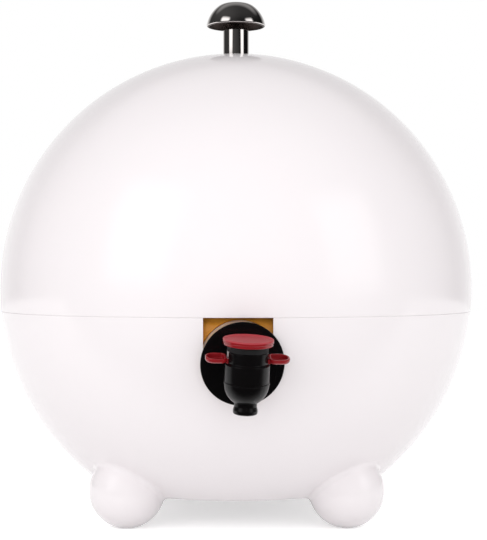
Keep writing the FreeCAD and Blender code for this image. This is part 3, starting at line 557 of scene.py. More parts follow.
@made_once("node_groups")
def handling_group(name):
    """Shader group: faint smudges, as a change of roughness."""
    inputs = {"Roughness": 0.1, "Smudge Scale": 18.0, "Smudge Amount": 0.05}
    group, given, place_on = shader_group(name, inputs, ["Roughness"])
    smudge = add_node(group, "ShaderNodeTexNoise", {
        "Vector": place_on, "Scale": given["Smudge Scale"], "Detail": 5, "Distortion": 0.6,
    })
    spread = add_node(group, "ShaderNodeMapRange", {"Value": smudge, "From Min": 0.35, "From Max": 0.75})
    marks = math_node(group, "MULTIPLY_ADD", spread, given["Smudge Amount"], given["Roughness"])
    add_node(group, "NodeGroupOutput", {0: marks})
    return group


@made_once("node_groups")
def moulded_group(name):
    """Shader group: colour with a slow drift, and the height of the moulding's skin and fine grain."""
    group, given, place_on = shader_group(name, {
        "Colour": None, "Drift Colour": None, "Drift Scale": 6.0, "Drift Amount": 0.3, "Skin Scale": 260.0,
        "Grain Scale": 2600.0, "Grain Share": 0.25,
    }, ["Colour", "Height"])
    drift, skin, grain = (
        add_node(group, "ShaderNodeTexNoise", {"Vector": place_on, "Scale": given[scale], "Detail": detail})
        for scale, detail in (("Drift Scale", 3), ("Skin Scale", 1), ("Grain Scale", 2))
    )
    amount = math_node(group, "MULTIPLY", drift, given["Drift Amount"])
    height = math_node(group, "MULTIPLY_ADD", grain, given["Grain Share"], skin)
    tint = two_colours(group, amount, given["Colour"], given["Drift Colour"])
    add_node(group, "NodeGroupOutput", {"Colour": tint, "Height": height})
    return group


def two_colours(tree, factor, one, other):
    """Mix of two colours, as a socket."""
    mix = add_node(tree, "ShaderNodeMix", {"Factor": factor, "A": one, "B": other}, data_type="RGBA")
    return mix.outputs["Result"]


def change_finish(group, given, where, other_colour, rougher):
    """Within the mask, take the other colour and a rougher finish."""
    tint = two_colours(group, where, given["Colour"], given[other_colour])
    rough = math_node(group, "MULTIPLY_ADD", where, rougher, given["Roughness"])
    add_node(group, "NodeGroupOutput", {"Colour": tint, "Roughness": rough})
    return group


@made_once("node_groups")
def shaded_hollow_group(name):
    """Shader group: within a ball-shaped hollow the finish is rougher and the colour is painted dark as
    shade, where the outside is polished.
    """
    inputs = {"Colour": None, "Dull Colour": None, "Roughness": 0.05, "Middle": 0.3, "Radius": 0.0}
    group, given, place_on = shader_group(name, inputs, ["Colour", "Roughness"])
    middle = add_node(group, "ShaderNodeCombineXYZ", {"Z": given["Middle"]})
    gone = add_node(group, "ShaderNodeVectorMath", {0: place_on, 1: middle}, operation="DISTANCE")
    # Inside the ball the colour turns dark: painted shade in the hollow, with a rougher finish.
    within = math_node(group, "LESS_THAN", gone.outputs["Value"], given["Radius"])
    return change_finish(group, given, within, "Dull Colour", 0.4)


@made_once("node_groups")
def sheen_group(name):
    """Shader group: above a height along a moulding's axis, its top is rougher and takes a paler colour as
    painted sheen.
    """
    inputs = {"Colour": None, "Worn Colour": None, "Axis": (0, 0, 0), "Roughness": 0.2, "Height": 10.0}
    group, given, place_on = shader_group(name, inputs, ["Colour", "Roughness"])
    up = add_node(group, "ShaderNodeVectorMath", {0: place_on, 1: given["Axis"]}, operation="DOT_PRODUCT")
    # Above the height the colour turns paler: painted sheen on the top.
    above = math_node(group, "GREATER_THAN", up.outputs["Value"], given["Height"])
    return change_finish(group, given, above, "Worn Colour", 0.3)


def set_inputs(node, **values):
    """Set a node's own inputs. An underscore in a name stands for a space."""
    for name, value in values.items():
        node.inputs[name.replace("_", " ")].default_value = value
    return node


def use_group(tree, group, **values):
    return set_inputs(add_node(tree, "ShaderNodeGroup", node_tree=group), **values)


def blank_material(name, kind="ShaderNodeBsdfPrincipled"):
    """A new material with one shader, its nodes, and that shader."""
    material = bpy.data.materials.new(name)
    material.use_nodes = True
    tree = material.node_tree
    tree.nodes.clear()
    shader = add_node(tree, kind)
    add_node(tree, "ShaderNodeOutputMaterial", {"Surface": shader})
    return material, tree, shader


def bump(tree, shader, height, distance, strength=1.0):
    node = add_node(tree, "ShaderNodeBump", {"Distance": distance, "Strength": strength, "Height": height})
    tree.links.new(node.outputs[0], shader.inputs["Normal"])


def skin_and_marks(tree, shader, base, drift, roughness, smudge, marks=(), **skin):
    """Give the shader a drifting base colour and smudged roughness. Returns the group of the skin."""
    body = use_group(tree, moulded_group("Moulded skin"), Colour=(*base, 1), Drift_Colour=(*drift, 1), **skin)
    handled = use_group(tree, handling_group("Handling marks"), Roughness=roughness, Smudge_Amount=smudge,
                        **dict(marks))
    tree.links.new(body.outputs["Colour"], shader.inputs["Base Color"])
    tree.links.new(handled.outputs[0], shader.inputs["Roughness"])
    return body


def through(tree, shader, node):
    """Lead the shader's base colour and roughness through the node."""
    for name, socket in (("Colour", shader.inputs["Base Color"]), ("Roughness", shader.inputs["Roughness"])):
        tree.links.new(socket.links[0].from_socket, node.inputs[name])
        tree.links.new(node.outputs[name], socket)


@made_once("materials")
def plastic(name, base, drift, roughness, smudge, depth, level=0.5, skin=260.0, share_of_grain=0.25):
    """Moulded plastic: base colour, what it drifts to, roughness, smudges and the depth of its skin."""
    material, tree, shader = blank_material(name)
    body = skin_and_marks(tree, shader, base, drift, roughness, smudge, Skin_Scale=skin,
                          Grain_Share=share_of_grain)
    bump(tree, shader, body.outputs["Height"], depth)
    shader.inputs["Specular IOR Level"].default_value = level
    return material


def white_gloss():
    white = bpy.context.scene.dispenser_ball.white
    cooler = (white[0] * 0.985, white[1] * 0.992, white[2])
    return plastic("White gloss plastic", white, cooler, 0.09, 0.05, 0.000004, 0.33, skin=170.0,
                   share_of_grain=0.05)


def black_satin():
    black = bpy.context.scene.dispenser_tap.black
    paler = [c * 1.5 for c in black]
    return plastic("Black moulded plastic", black, paler, 0.2, 0.1, 0.00001, 0.2, skin=900.0)


def red_satin(name="Red moulded plastic"):
    red = bpy.context.scene.dispenser_tap.red
    deeper = (red[0] * 0.9, red[1] * 0.8, red[2] * 0.9)
    return plastic(name, red, deeper, 0.17, 0.1, 0.00001, skin=800.0)


def natural_satin():
    natural = bpy.context.scene.dispenser_tap.natural
    material = plastic("Natural moulded plastic", natural, [c * 0.9 for c in natural], 0.38, 0.1, 0.00003,
                       skin=700.0)
    shader = material.node_tree.nodes["Principled BSDF"]
    set_inputs(shader, Subsurface_Weight=0.25, Subsurface_Scale=0.002)
    return material


def soft_rubber():
    return plastic("Black rubber", (0.011, 0.011, 0.012), (0.018, 0.018, 0.018), 0.52, 0.15, 0.00004, 0.3,
                   skin=1500.0, share_of_grain=0.6)


@made_once("materials")
def sheen_red(name, axis, height):
    """Red plastic of the thumb cap, its top rougher and paler: the paler colour is painted sheen."""
    material = red_satin(name)
    tree = material.node_tree
    # Paler red painted on the thumb cap's top: painted sheen.
    sheen_colour = (*bpy.context.scene.dispenser_tap.sheen_red, 1)
    sheen = use_group(tree, sheen_group("Worn top"), Worn_Colour=sheen_colour, Axis=axis, Height=height)
    through(tree, tree.nodes["Principled BSDF"], sheen)
    return material


@made_once("materials")
def polished_metal(name, middle=0.0, radius=0.0):
    """Polished metal with faint turning lines round the knob's axis; within a ball round the middle it is
    rougher and painted dark as shade.
    """
    material, tree, shader = blank_material(name)
    chrome = bpy.context.scene.dispenser_knob.chrome
    skin_and_marks(tree, shader, chrome, [c * 0.93 for c in chrome], 0.045, 0.05, {"Smudge_Scale": 55.0},
                   Drift_Scale=60.0, Drift_Amount=1.0)
    # Dark colour for the cap's hollow underside: painted shade.
    shade_dark = (0.07, 0.055, 0.05, 1)
    hollow = use_group(tree, shaded_hollow_group("Dull hollow"), Dull_Colour=shade_dark, Middle=middle, Radius=radius)
    through(tree, shader, hollow)
    shader.inputs["Metallic"].default_value = 1
    place_on = add_node(tree, "ShaderNodeTexCoord").outputs["Object"]
    squeeze = add_node(tree, "ShaderNodeMapping", {"Vector": place_on, "Scale": (20, 20, 9000)})
    lines = add_node(tree, "ShaderNodeTexNoise", {"Vector": squeeze, "Scale": 1})
    bump(tree, shader, lines, 0.0000012)
    return material


@made_once("materials")
def plated_steel(name):
    """Plated steel of the screw and washer, duller than the knob."""
    material, tree, shader = blank_material(name)
    steel, stained = (0.5, 0.5, 0.49), (0.4, 0.39, 0.36)
    body = skin_and_marks(tree, shader, steel, stained, 0.3, 0.2, {"Smudge_Scale": 150.0},
                          Drift_Scale=220.0, Drift_Amount=1.0)
    bump(tree, shader, body.outputs["Height"], 0.00001)
    shader.inputs["Metallic"].default_value = 1
    return material


@made_once("materials")
def bag_film(name):
    """Glossy film over amber wine: fine creases, and a colour that drifts."""
    material, tree, shader = blank_material(name)
    amber = bpy.context.scene.dispenser_bag.amber
    skin_and_marks(tree, shader, amber, (amber[0] * 0.72, amber[1] * 0.8, amber[2] * 3), 0.16, 0.2,
                   {"Smudge_Scale": 40.0}, Drift_Scale=26.0, Drift_Amount=0.55)
    place_on = add_node(tree, "ShaderNodeTexCoord").outputs["Object"]
    warp = add_node(tree, "ShaderNodeTexNoise", {"Vector": place_on, "Scale": 30})
    mixed = add_node(tree, "ShaderNodeMix", {
        "Factor": 0.04, "A": place_on, "B": warp.outputs["Color"],
    }, data_type="VECTOR").outputs["Result"]
    creases = add_node(tree, "ShaderNodeTexVoronoi", {
        "Vector": mixed, "Scale": 55,
    }, feature="DISTANCE_TO_EDGE")
    ridge = add_node(tree, "ShaderNodeMapRange", {
        "Value": creases.outputs["Distance"], "From Max": 0.14,
    }, interpolation_type="SMOOTHSTEP")
    bump(tree, shader, ridge, 0.0004, 0.6)
    set_inputs(shader, Coat_Weight=0.5, Coat_Roughness=0.05)
    return material


# Pieces


def shell_radii(ball):
    """Radii of the inner wall, of the outer wall at the seam and of the lip's inside."""
    inner = ball.radius - ball.wall
    seam = math.sqrt(ball.radius ** 2 - ball.seam_drop ** 2)
    return inner, seam, math.sqrt(inner ** 2 - ball.seam_drop ** 2) + ball.lip_gap


class DISPENSER_OT_dome(bpy.types.Operator):
    """Turn the dome that lifts off the bowl"""

    bl_idname = "dispenser.dome"
    bl_label = "Dome"

    def execute(self, context):
        ball = context.scene.dispenser_ball
        inner, seam, lip_inner = shell_radii(ball)
        rebate = lip_inner + ball.lip_wall + ball.lip_gap
        rebate_top = ball.lip_rise + ball.lip_headroom - ball.seam_drop
        seat = math.sqrt(ball.radius ** 2 - ball.knob_seat ** 2)
        boss_top = math.sqrt(inner ** 2 - ball.boss_radius ** 2)
        boss_face = boss_top - ball.boss_depth
        outline = rounded([
            (rebate, -ball.seam_drop, ball.lip_gap),
            (seam, -ball.seam_drop, ball.seam_round),
            *ball_arc(ball.radius, -ball.seam_drop, seat, ball.steps // 2)[1:],
            (ball.screw_hole, seat),
            (ball.screw_hole, boss_face),
            (ball.boss_radius, boss_face, ball.boss_depth / 3),
            *ball_arc(inner, rebate_top, boss_top, ball.steps // 3)[::-1],
            (rebate, rebate_top),
        ])
        dome = turned("dome", outline, ball.steps, white_gloss())
        place(dome, Matrix.Translation((0, 0, ball.centre_height)))
        dress(dome, "lid", "white_shell", "upper_shell")
        return {"FINISHED"}


def foot_centres(ball):
    across = ball.foot_circle * math.sqrt(0.5)
    up = math.sqrt(ball.foot_radius ** 2 - ball.foot_flat ** 2) - ball.centre_height
    return np.array([(x * across, y * across, up) for x in (-1, 1) for y in (-1, 1)])


def round_union(one, other, blend):
    """Distance to two joined forms whose inner corner is filled with a rounding."""
    fill = np.hypot(np.maximum(blend - one, 0), np.maximum(blend - other, 0))
    return np.maximum(blend, np.minimum(one, other)) - fill


def bowl_distance(points, ball):
    """Distance to the bowl's outer skin, its feet blended in."""
    core = ball.radius - ball.base_round
    drop = ball.base_drop - ball.base_round
    ring = math.sqrt(core ** 2 - drop ** 2)
    across, down = np.hypot(points[:, 0], points[:, 1]), -points[:, 2]
    skin = np.maximum(np.linalg.norm(points, axis=1) - core, down - drop)
    turning = (across > ring) & (across * drop < down * ring)
    skin[turning] = np.hypot(across - ring, down - drop)[turning]
    skin -= ball.base_round
    away = [np.linalg.norm(points - centre, axis=1) for centre in foot_centres(ball)]
    foot = np.min(away, axis=0) - ball.foot_radius
    return round_union(skin, foot, ball.foot_blend)


def slope_of(distance, points, ball, step=2e-5):
    shifts = np.eye(3) * step
    rises = [distance(points + shift, ball) - distance(points - shift, ball) for shift in shifts]
    return np.stack(rises, axis=1) / (2 * step)


def settle(points, ball, rounds=8):
    """Move points onto the bowl's outer skin."""
    for _ in range(rounds):
        slope = slope_of(bowl_distance, points, ball)
        reach = bowl_distance(points, ball) / np.maximum((slope ** 2).sum(axis=1), 1e-3)
        points = points - slope * reach[:, None]
    return points


def round_ball(name, centre, radius):
    """Ball round a point, turned a little so that its edges miss the bowl's."""
    askew = 0.013
    stance = Matrix.Translation(Vector(centre)) @ Matrix.Rotation(askew, 4, "Z")
    return place(turned(name, ball_arc(radius, -radius, radius, 56), 84, None), stance)


def mould_feet(bowl, ball):
    """Add the feet to the solid bowl, and blend them in."""
    for centre in foot_centres(ball):
        combine(bowl, round_ball("foot", centre, ball.foot_radius), "UNION")
    blend_reach = 1.3 * ball.foot_blend
    longest = ball.foot_blend / 2.8
    highest = 0.03 - ball.base_drop

    def near(vert):
        point = np.array(vert.co)[None]
        skin = abs(np.linalg.norm(point) - ball.radius) if point[0, 2] > -ball.base_drop + 1e-5 else 0
        foot = np.min(np.linalg.norm(foot_centres(ball) - point, axis=1)) - ball.foot_radius
        return skin < blend_reach and abs(foot) < blend_reach

    def split_faces(mesh):
        bmesh.ops.triangulate(mesh, faces=[face for face in mesh.faces if len(face.verts) > 4])

    with editing(bowl) as mesh:
        split_faces(mesh)
        for _ in range(2):
            close = {vert for vert in mesh.verts if vert.co.z < highest and near(vert)}
            edges = [edge for edge in mesh.edges if edge.verts[0] in close and edge.verts[1] in close
                     and edge.calc_length() > longest]
            bmesh.ops.subdivide_edges(mesh, edges=edges, cuts=1, use_grid_fill=True)
            split_faces(mesh)
    points = points_of(bowl)
    low = points[:, 2] < -ball.base_drop / 2
    points[low] = settle(points[low], ball)
    set_points(bowl, points)


def true_normals(obj, ball):
    """Give the outer and inner skins the normals of the true ball and feet, not of their facets."""
    mesh = obj.data
    crease(obj)
    loops = len(mesh.loops)
    face_of = np.repeat(np.arange(len(mesh.polygons)), [p.loop_total for p in mesh.polygons])
    vert_of = np.empty(loops, int)
    mesh.loops.foreach_get("vertex_index", vert_of)
    points = np.array([v.co for v in mesh.vertices])
    centres = np.array([p.center for p in mesh.polygons])
    facing = np.array([p.normal for p in mesh.polygons])
    normals = np.array([n.vector for n in mesh.corner_normals])
    inwards, same_way, on_skin = 0.03, 0.9, 0.0001
    probe = points[vert_of] * (1 - inwards) + centres[face_of] * inwards
    inner = ball.radius - ball.wall

    def adopt(faces, wanted):
        """Take the wanted normals on these faces where they agree with the facets."""
        wanted = wanted / np.linalg.norm(wanted, axis=1, keepdims=True)
        same = faces[face_of] & ((wanted * facing[face_of]).sum(axis=1) > same_way)
        normals[same] = wanted[same]

    outer_faces = np.abs(bowl_distance(centres, ball)) < on_skin
    adopt(outer_faces, slope_of(bowl_distance, probe, ball))
    inner_faces = np.abs(np.linalg.norm(centres, axis=1) - inner) < on_skin
    adopt(inner_faces, -probe)
    mesh.normals_split_custom_set(normals.tolist())


class DISPENSER_OT_bowl(bpy.types.Operator):
    """Mould the bowl with its ball feet, inner lip and notch"""

    bl_idname = "dispenser.bowl"
    bl_label = "Bowl"

    def execute(self, context):
        ball = context.scene.dispenser_ball
        inner, seam, lip_inner = shell_radii(ball)
        lip_outer = lip_inner + ball.lip_wall
        lip_top = ball.lip_rise - ball.seam_drop
        base_edge = math.sqrt(ball.radius ** 2 - ball.base_drop ** 2)
        white = white_gloss()
        base_rings = 20
        bowl = turned("bowl", [
            (0, -ball.base_drop),
            *[(base_edge * step / base_rings, -ball.base_drop) for step in range(1, base_rings)],
            *rounded([
                (0, -ball.base_drop),
                *ball_arc(ball.radius, -ball.base_drop, -ball.seam_drop, ball.steps // 4)[:-1],
                (seam, -ball.seam_drop, ball.seam_round),
                (lip_outer, -ball.seam_drop),
                (lip_outer, lip_top, ball.lip_wall / 4),
                (0, lip_top),
            ])[1:],
        ], ball.steps, white)
        mould_feet(bowl, ball)
        flats = block("flats", (-ball.radius, -ball.radius, -ball.radius - ball.wall),
                      (ball.radius, ball.radius, -ball.centre_height))
        combine(bowl, flats, "DIFFERENCE")
        inner_base = ball.wall - ball.base_drop
        hollow = turned("hollow", [
            (0, inner_base),
            *ball_arc(inner, inner_base, -ball.seam_drop, ball.steps // 6),
            (lip_inner, -ball.seam_drop),
            (lip_inner, ball.radius / 2),
            (0, ball.radius / 2),
        ], ball.steps, None)
        combine(bowl, hollow, "DIFFERENCE")
        for centre in foot_centres(ball):
            combine(bowl, round_ball("core", centre, ball.foot_radius - ball.wall), "DIFFERENCE")
        u_shape = [
            *arc(0, -ball.notch_drop, ball.notch_half, 180, 360, 72),
            (ball.notch_half, ball.radius / 4),
            (-ball.notch_half, ball.radius / 4),
        ]
        deep = ball.radius + ball.wall
        near = [(x, -deep, z) for x, z in u_shape]
        far = [(x, -ball.radius / 2, z) for x, z in u_shape]
        rim = len(u_shape)
        sides = [(i, (i + 1) % rim, rim + (i + 1) % rim, rim + i) for i in range(rim)]
        caps = [tuple(range(rim))[::-1], tuple(range(rim, 2 * rim))]
        notch = mesh_from("notch", near + far, faces=sides + caps)
        with editing(notch) as mesh:
            bmesh.ops.recalc_face_normals(mesh, faces=mesh.faces)
        combine(bowl, notch, "DIFFERENCE")
        true_normals(bowl, ball)
        coat(bowl, white)
        place(bowl, Matrix.Translation((0, 0, ball.centre_height)))
        dress(bowl, "base", "white_shell", "lower_shell")
        return {"FINISHED"}


class DISPENSER_OT_knob(bpy.types.Operator):
    """Turn the knob's post and mushroom cap, and finish the screw and washer that hold them"""

    bl_idname = "dispenser.knob"
    bl_label = "Knob"

    def execute(self, context):
        ball, knob = context.scene.dispenser_ball, context.scene.dispenser_knob
        metal = polished_metal("Polished metal")
        rim = ball.radius + knob.post_show
        seat = math.sqrt(ball.radius ** 2 - ball.knob_seat ** 2)
        to_floor = Matrix.Translation((0, 0, ball.centre_height))
        post = turned("post", rounded([
            (knob.post_bore, seat),
            (knob.post_radius, seat, 0.00015),
            (knob.post_radius, rim + knob.post_into_cap, EDGE),
            (knob.post_bore, rim + knob.post_into_cap),
        ]), knob.steps, metal)
        dress(place(post, to_floor), "lid", "knob_metal", "knob_stem")

        middle = rim - knob.cap_drop
        inside = knob.cap_radius - knob.cap_wall
        top = rim + knob.cap_height
        shoulder = middle + math.sqrt(knob.cap_radius ** 2 - knob.shoulder_spread ** 2)
        ceiling = middle + math.sqrt(inside ** 2 - knob.boss_radius ** 2)
        crown = top - knob.crown_arc + math.sqrt(knob.crown_arc ** 2 - knob.crown_spread ** 2)
        shoulder_face = ball_arc(knob.cap_radius, rim, shoulder, 48, middle)
        crown_start = math.degrees(math.acos(knob.crown_spread / knob.crown_arc))
        across = np.array((knob.shoulder_spread - knob.crown_spread, shoulder - crown))
        chord = np.linalg.norm(across)
        sunk = math.sqrt(knob.shoulder_arc ** 2 - (chord / 2) ** 2)
        turn_centre = (np.array((knob.shoulder_spread + knob.crown_spread, shoulder + crown)) / 2
                       + np.array((across[1], -across[0])) / chord * sunk)
        ends = [math.degrees(math.atan2(up - turn_centre[1], out - turn_centre[0]))
                for out, up in ((knob.shoulder_spread, shoulder), (knob.crown_spread, crown))]
        outline = rounded([
            (0, rim + knob.screw_reach),
            (knob.screw_radius, rim + knob.screw_reach),
            (knob.screw_radius, rim + knob.post_into_cap),
            (knob.boss_radius, rim + knob.post_into_cap, FINE_EDGE),
            *ball_arc(inside, rim, ceiling, 40, middle)[::-1],
            (math.sqrt(knob.cap_radius ** 2 - knob.cap_drop ** 2), rim, knob.cap_rim_round),
            *shoulder_face[4:],
            *arc(*turn_centre, knob.shoulder_arc, ends[0], ends[1], 8)[1:],
            *arc(0, top - knob.crown_arc, knob.crown_arc, crown_start, 90, 8)[1:],
        ])
        # The cap's hollow underside is rougher and painted dark: painted shade.
        cap_metal = polished_metal("Polished cap", ball.centre_height + middle, inside + knob.cap_wall * 0.7)
        cap = turned("mushroom_cap", outline, knob.steps, cap_metal)
        dress(place(cap, to_floor), "lid", "knob_metal", "knob_cap")
        for node in ("knob_washer", "knob_screw"):
            finish_node(node, plated_steel("Plated steel"))
        return {"FINISHED"}


def finish_node(node, material):
    """Give a node of the frame its material."""
    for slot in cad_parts[node].material_slots:
        slot.material = material


class DISPENSER_OT_tap(bpy.types.Operator):
    """Mould the tap's housing and spout"""

    bl_idname = "dispenser.tap"
    bl_label = "Tap housing"

    def execute(self, context):
        tap = context.scene.dispenser_tap
        black = black_satin()
        stance = tap_stance()
        seat_top = -tap.seat_drop
        seat_bottom = seat_top - tap.seat_thickness
        disc_back = tap.disc_back + tap.disc_thickness
        short_of_rear = 0.0005
        spigot_end = tap.disc_back + tap.gland_rear_back + tap.gland_rear_wall - short_of_rear
        spare = 0.001
        housing = turned("tap_housing", rounded([
            (0, seat_bottom - spare),
            (tap.skirt_radius, seat_bottom - spare),
            (tap.skirt_radius, tap.step_top - tap.step_height, SOFT_EDGE),
            (tap.barrel_radius, tap.step_top, SOFT_EDGE),
            (tap.barrel_radius, tap.barrel_top, EDGE),
            (0, tap.barrel_top),
        ]), tap.steps, black)
        disc = turned("disc", rounded([
            (0, tap.disc_back),
            (tap.disc_radius, tap.disc_back, tap.disc_round),
            (tap.disc_radius, disc_back, tap.disc_round),
            (tap.spigot_radius, disc_back),
            (tap.spigot_radius, spigot_end, EDGE),
            (0, spigot_end),
        ]), tap.steps, black)
        passage = rod("passage", tap.passage_radius, FIT, tap.disc_back + tap.disc_thickness / 2)
        combine(housing, place(passage, ALONG_PASSAGE), "UNION")
        far = tap.skirt_radius * 1.2
        under = block("under", (-far, -far, -far), (far, 2 * tap.disc_back, seat_bottom))
        combine(housing, under, "DIFFERENCE")
        combine(housing, place(disc, ALONG_PASSAGE), "UNION")
        bore = tap.barrel_radius - tap.barrel_wall
        chamber = turned("chamber", [
            (0, seat_bottom - spare),
            (tap.seat_hole, seat_bottom - spare),
            (tap.seat_hole, seat_top),
            (bore, seat_top),
            (bore, far),
            (0, far),
        ], tap.steps, None)
        combine(housing, chamber, "DIFFERENCE")
        way_in = turned("way_in", [
            (0, spare / 2),
            (tap.passage_bore, spare / 2),
            (tap.passage_bore, disc_back),
            (tap.spigot_bore, disc_back),
            (tap.spigot_bore, spigot_end + spare),
            (0, spigot_end + spare),
        ], 72, None)
        combine(housing, place(way_in, ALONG_PASSAGE), "DIFFERENCE")
        slot = (tap.wing_neck + FIT, tap.wing_bottom - FIT)
        slots = block("slots", (-far, -slot[0], slot[1]), (far, slot[0], far))
        combine(housing, slots, "DIFFERENCE")
        crease(housing, 25)
        dress(place(housing, stance), "base", "tap_black", "tap_body")

        bowl_inner = tap.skirt_radius - tap.barrel_wall
        bowl_foot = -tap.bowl_drop - math.sqrt(tap.skirt_radius ** 2 - tap.neck_radius ** 2)
        bore_top = -tap.bowl_drop - math.sqrt(bowl_inner ** 2 - tap.spout_bore ** 2)
        bead = tap.skirt_radius + tap.bead_proud
        short = 0.0002
        to_bore = math.degrees(math.acos(tap.spout_bore / bowl_inner))
        to_neck = math.degrees(math.acos(tap.neck_radius / tap.skirt_radius))
        inside = arc(0, -tap.bowl_drop, bowl_inner, 0, -to_bore, 20)
        outside = arc(0, -tap.bowl_drop, tap.skirt_radius, -to_neck, 0, 32)
        spout = turned("spout", rounded([
            (bowl_inner, seat_bottom),
            *inside,
            (tap.spout_bore, bore_top - short),
            (tap.spout_bore, -tap.spout_end, EDGE),
            (tap.spout_radius, -tap.spout_end, tap.spout_round),
            (tap.spout_radius, -tap.spout_lip_drop, EDGE),
            (tap.neck_radius, tap.neck_flare - tap.spout_lip_drop, tap.neck_round / 2),
            (tap.neck_radius, bowl_foot + short),
            *outside[1:],
            (bead, -tap.bowl_drop, tap.bead_proud / 2),
            (bead, seat_bottom, tap.bead_proud / 2),
        ]), tap.steps, black)
        dress(place(spout, stance), "base", "tap_black", "tap_nozzle")
        return {"FINISHED"}


def tray_ring(tap, inset, up, from_rim):
    """Rounded outline of a wing, shrunk by the inset. It lies level, or as far below the sloping rim."""
    near, far = tap.wing_root + inset, tap.wing_reach - inset
    half = tap.wing_half - inset
    outer, inner = tap.wing_outer - inset, max(tap.wing_inner - inset, FINE_EDGE)
    corners = [(far - outer, half - outer, outer, 0), (near + inner, half - inner, inner, 90),
               (near + inner, inner - half, inner, 180), (far - outer, outer - half, outer, 270)]
    outline = [point for x, y, radius, start in corners for point in arc(x, y, radius, start, start + 90, 14)]
    if not from_rim:
        return [(x, y, tap.wing_bottom + up) for x, y in outline]
    top = tap.wing_bottom + tap.wing_height
    return [(x, y, top - up + (y / tap.wing_half - 1) * tap.wing_scoop / 2) for x, y in outline]


class DISPENSER_OT_wings(bpy.types.Operator):
    """Mould the two finger wings and the ring that joins them"""

    bl_idname = "dispenser.wings"
    bl_label = "Finger wings"

    def execute(self, context):
        tap = context.scene.dispenser_tap
        low = tap.wing_bottom
        rings = []
        floor_round = tap.wing_wall * 0.6

        def quarter(number):
            turns = np.linspace(0, math.pi / 2, number)
            return [(1 - math.sin(turn), 1 - math.cos(turn)) for turn in turns]

        for near, far in quarter(9):
            rings.append((tap.wing_under * near, tap.wing_under * far, False))
        for near, far in quarter(5):
            rings.append((tap.wing_rim * far, tap.wing_rim * near, True))
        for near, far in quarter(5):
            rings.append((tap.wing_wall - tap.wing_rim * near, tap.wing_rim * far, True))
        for near, far in quarter(7):
            rings.append((tap.wing_wall + floor_round * far, tap.wing_wall + floor_round * near, False))
        points, faces = [], []
        for ring in rings:
            points.extend(tray_ring(tap, *ring))
        around = len(points) // len(rings)
        for ring in range(len(rings) - 1):
            for i in range(around):
                a, b = ring * around + i, ring * around + (i + 1) % around
                faces.append((a, b, b + around, a + around))
        faces.append(tuple(range(around))[::-1])
        faces.append(tuple(range(len(points) - around, len(points))))
        ring_outer = tap.barrel_radius - tap.barrel_wall - FIT
        wings = turned("finger_wings", rounded([
            (ring_outer - tap.yoke_wall, low),
            (ring_outer, low, FINE_EDGE),
            (ring_outer, low + tap.yoke_height, FINE_EDGE),
            (ring_outer - tap.yoke_wall, low + tap.yoke_height),
        ]), tap.steps, red_satin())
        for side in (1, -1):
            neck_top = low + tap.wing_height - tap.wing_scoop
            neck = block("neck", (ring_outer - tap.yoke_wall / 2, -tap.wing_neck, low),
                         (tap.wing_root + tap.wing_wall / 2, tap.wing_neck, neck_top))
            tray = mesh_from("tray", points, faces=faces)
            for piece in (neck, tray):
                piece.data.transform(Matrix.Diagonal((side, 1, 1, 1)))
                if side < 0:
                    piece.data.flip_normals()
                combine(wings, piece, "UNION")
        crease(wings, 35)
        coat(wings, red_satin())
        dress(place(wings, tap_stance()), "base", "tap_red", "wing_yoke")
        return {"FINISHED"}


class DISPENSER_OT_button(bpy.types.Operator):
    """Mould the thumb cap and the rubber diaphragm under it, and finish the valve inside"""

    bl_idname = "dispenser.button"
    bl_label = "Thumb cap and valve"

    def execute(self, context):
        tap = context.scene.dispenser_tap
        stance = tap_stance()
        plate_top = tap.button_top - tap.button_dish
        underside = plate_top - tap.button_plate
        bore = tap.barrel_radius + tap.button_gap
        lower = tap.button_radius - tap.tier
        tier_up = tap.button_top - tap.tier_height
        boss_radius, boss_depth = 0.0036, 0.0024
        boss_end = underside - boss_depth
        axis = stance.to_3x3() @ Vector((0, 0, 1))
        # Above this height the thumb cap's top is painted paler: painted sheen.
        sheen_above = axis @ (stance @ Vector((0, 0, plate_top - FIT)))
        cap = turned("thumb_cap", rounded([
            (0, underside),
            (tap.stem_radius, underside),
            (tap.stem_radius, boss_end),
            (boss_radius, boss_end, EDGE),
            (boss_radius, underside, EDGE),
            (bore, underside, EDGE),
            (bore, tap.button_skirt),
            (lower, tap.button_skirt, tap.button_round),
            (lower, tier_up - tap.tier, FINE_EDGE),
            (tap.button_radius, tier_up, EDGE),
            (tap.button_radius, tap.button_top, tap.button_round),
            (tap.dish_radius + tap.button_dish, tap.button_top, SOFT_EDGE),
            (tap.dish_radius, plate_top, 0.0012),
            (0, plate_top),
        ]), tap.steps, sheen_red("Worn red plastic", axis, sheen_above))
        dress(place(cap, stance), "button", "tap_red", "push_button")

        bead_wide, hub_depth, fold_depth = 0.00115, 0.0012, 0.0002
        rim = tap.barrel_top + TOUCH
        yoke = tap.barrel_radius - tap.barrel_wall - FIT
        bead_top = tap.wing_bottom + tap.yoke_height + TOUCH
        hub_top = boss_end - FIT
        hub_foot = hub_top - hub_depth
        outer = tap.barrel_radius - TOUCH
        inner = outer - tap.rubber_wall
        middle = (inner + tap.hub_radius) / 2
        rubber = turned("diaphragm_rubber", rounded([
            (yoke - bead_wide, bead_top),
            (yoke, bead_top),
            (yoke, rim),
            (outer, rim, EDGE),
            (outer, tap.rubber_top, 0.0005),
            (inner, tap.rubber_top, EDGE),
            (middle, (tap.rubber_top + hub_top) / 2 - fold_depth, 2 * EDGE),
            (tap.hub_radius, hub_top, EDGE),
            (tap.stem_radius + TOUCH, hub_top),
            (tap.stem_radius + TOUCH, hub_foot),
            (tap.hub_radius, hub_foot, EDGE),
            (inner, tap.rubber_top - tap.rubber_wall, EDGE),
            (inner, rim + tap.rubber_wall, EDGE),
            (yoke - bead_wide, rim),
        ]), tap.steps, soft_rubber())
        dress(place(rubber, stance), "base", "tap_rubber", "diaphragm")
        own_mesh(rubber)
        finish_node("valve_stem", red_satin())
        finish_node("valve_seal", soft_rubber())
        return {"FINISHED"}


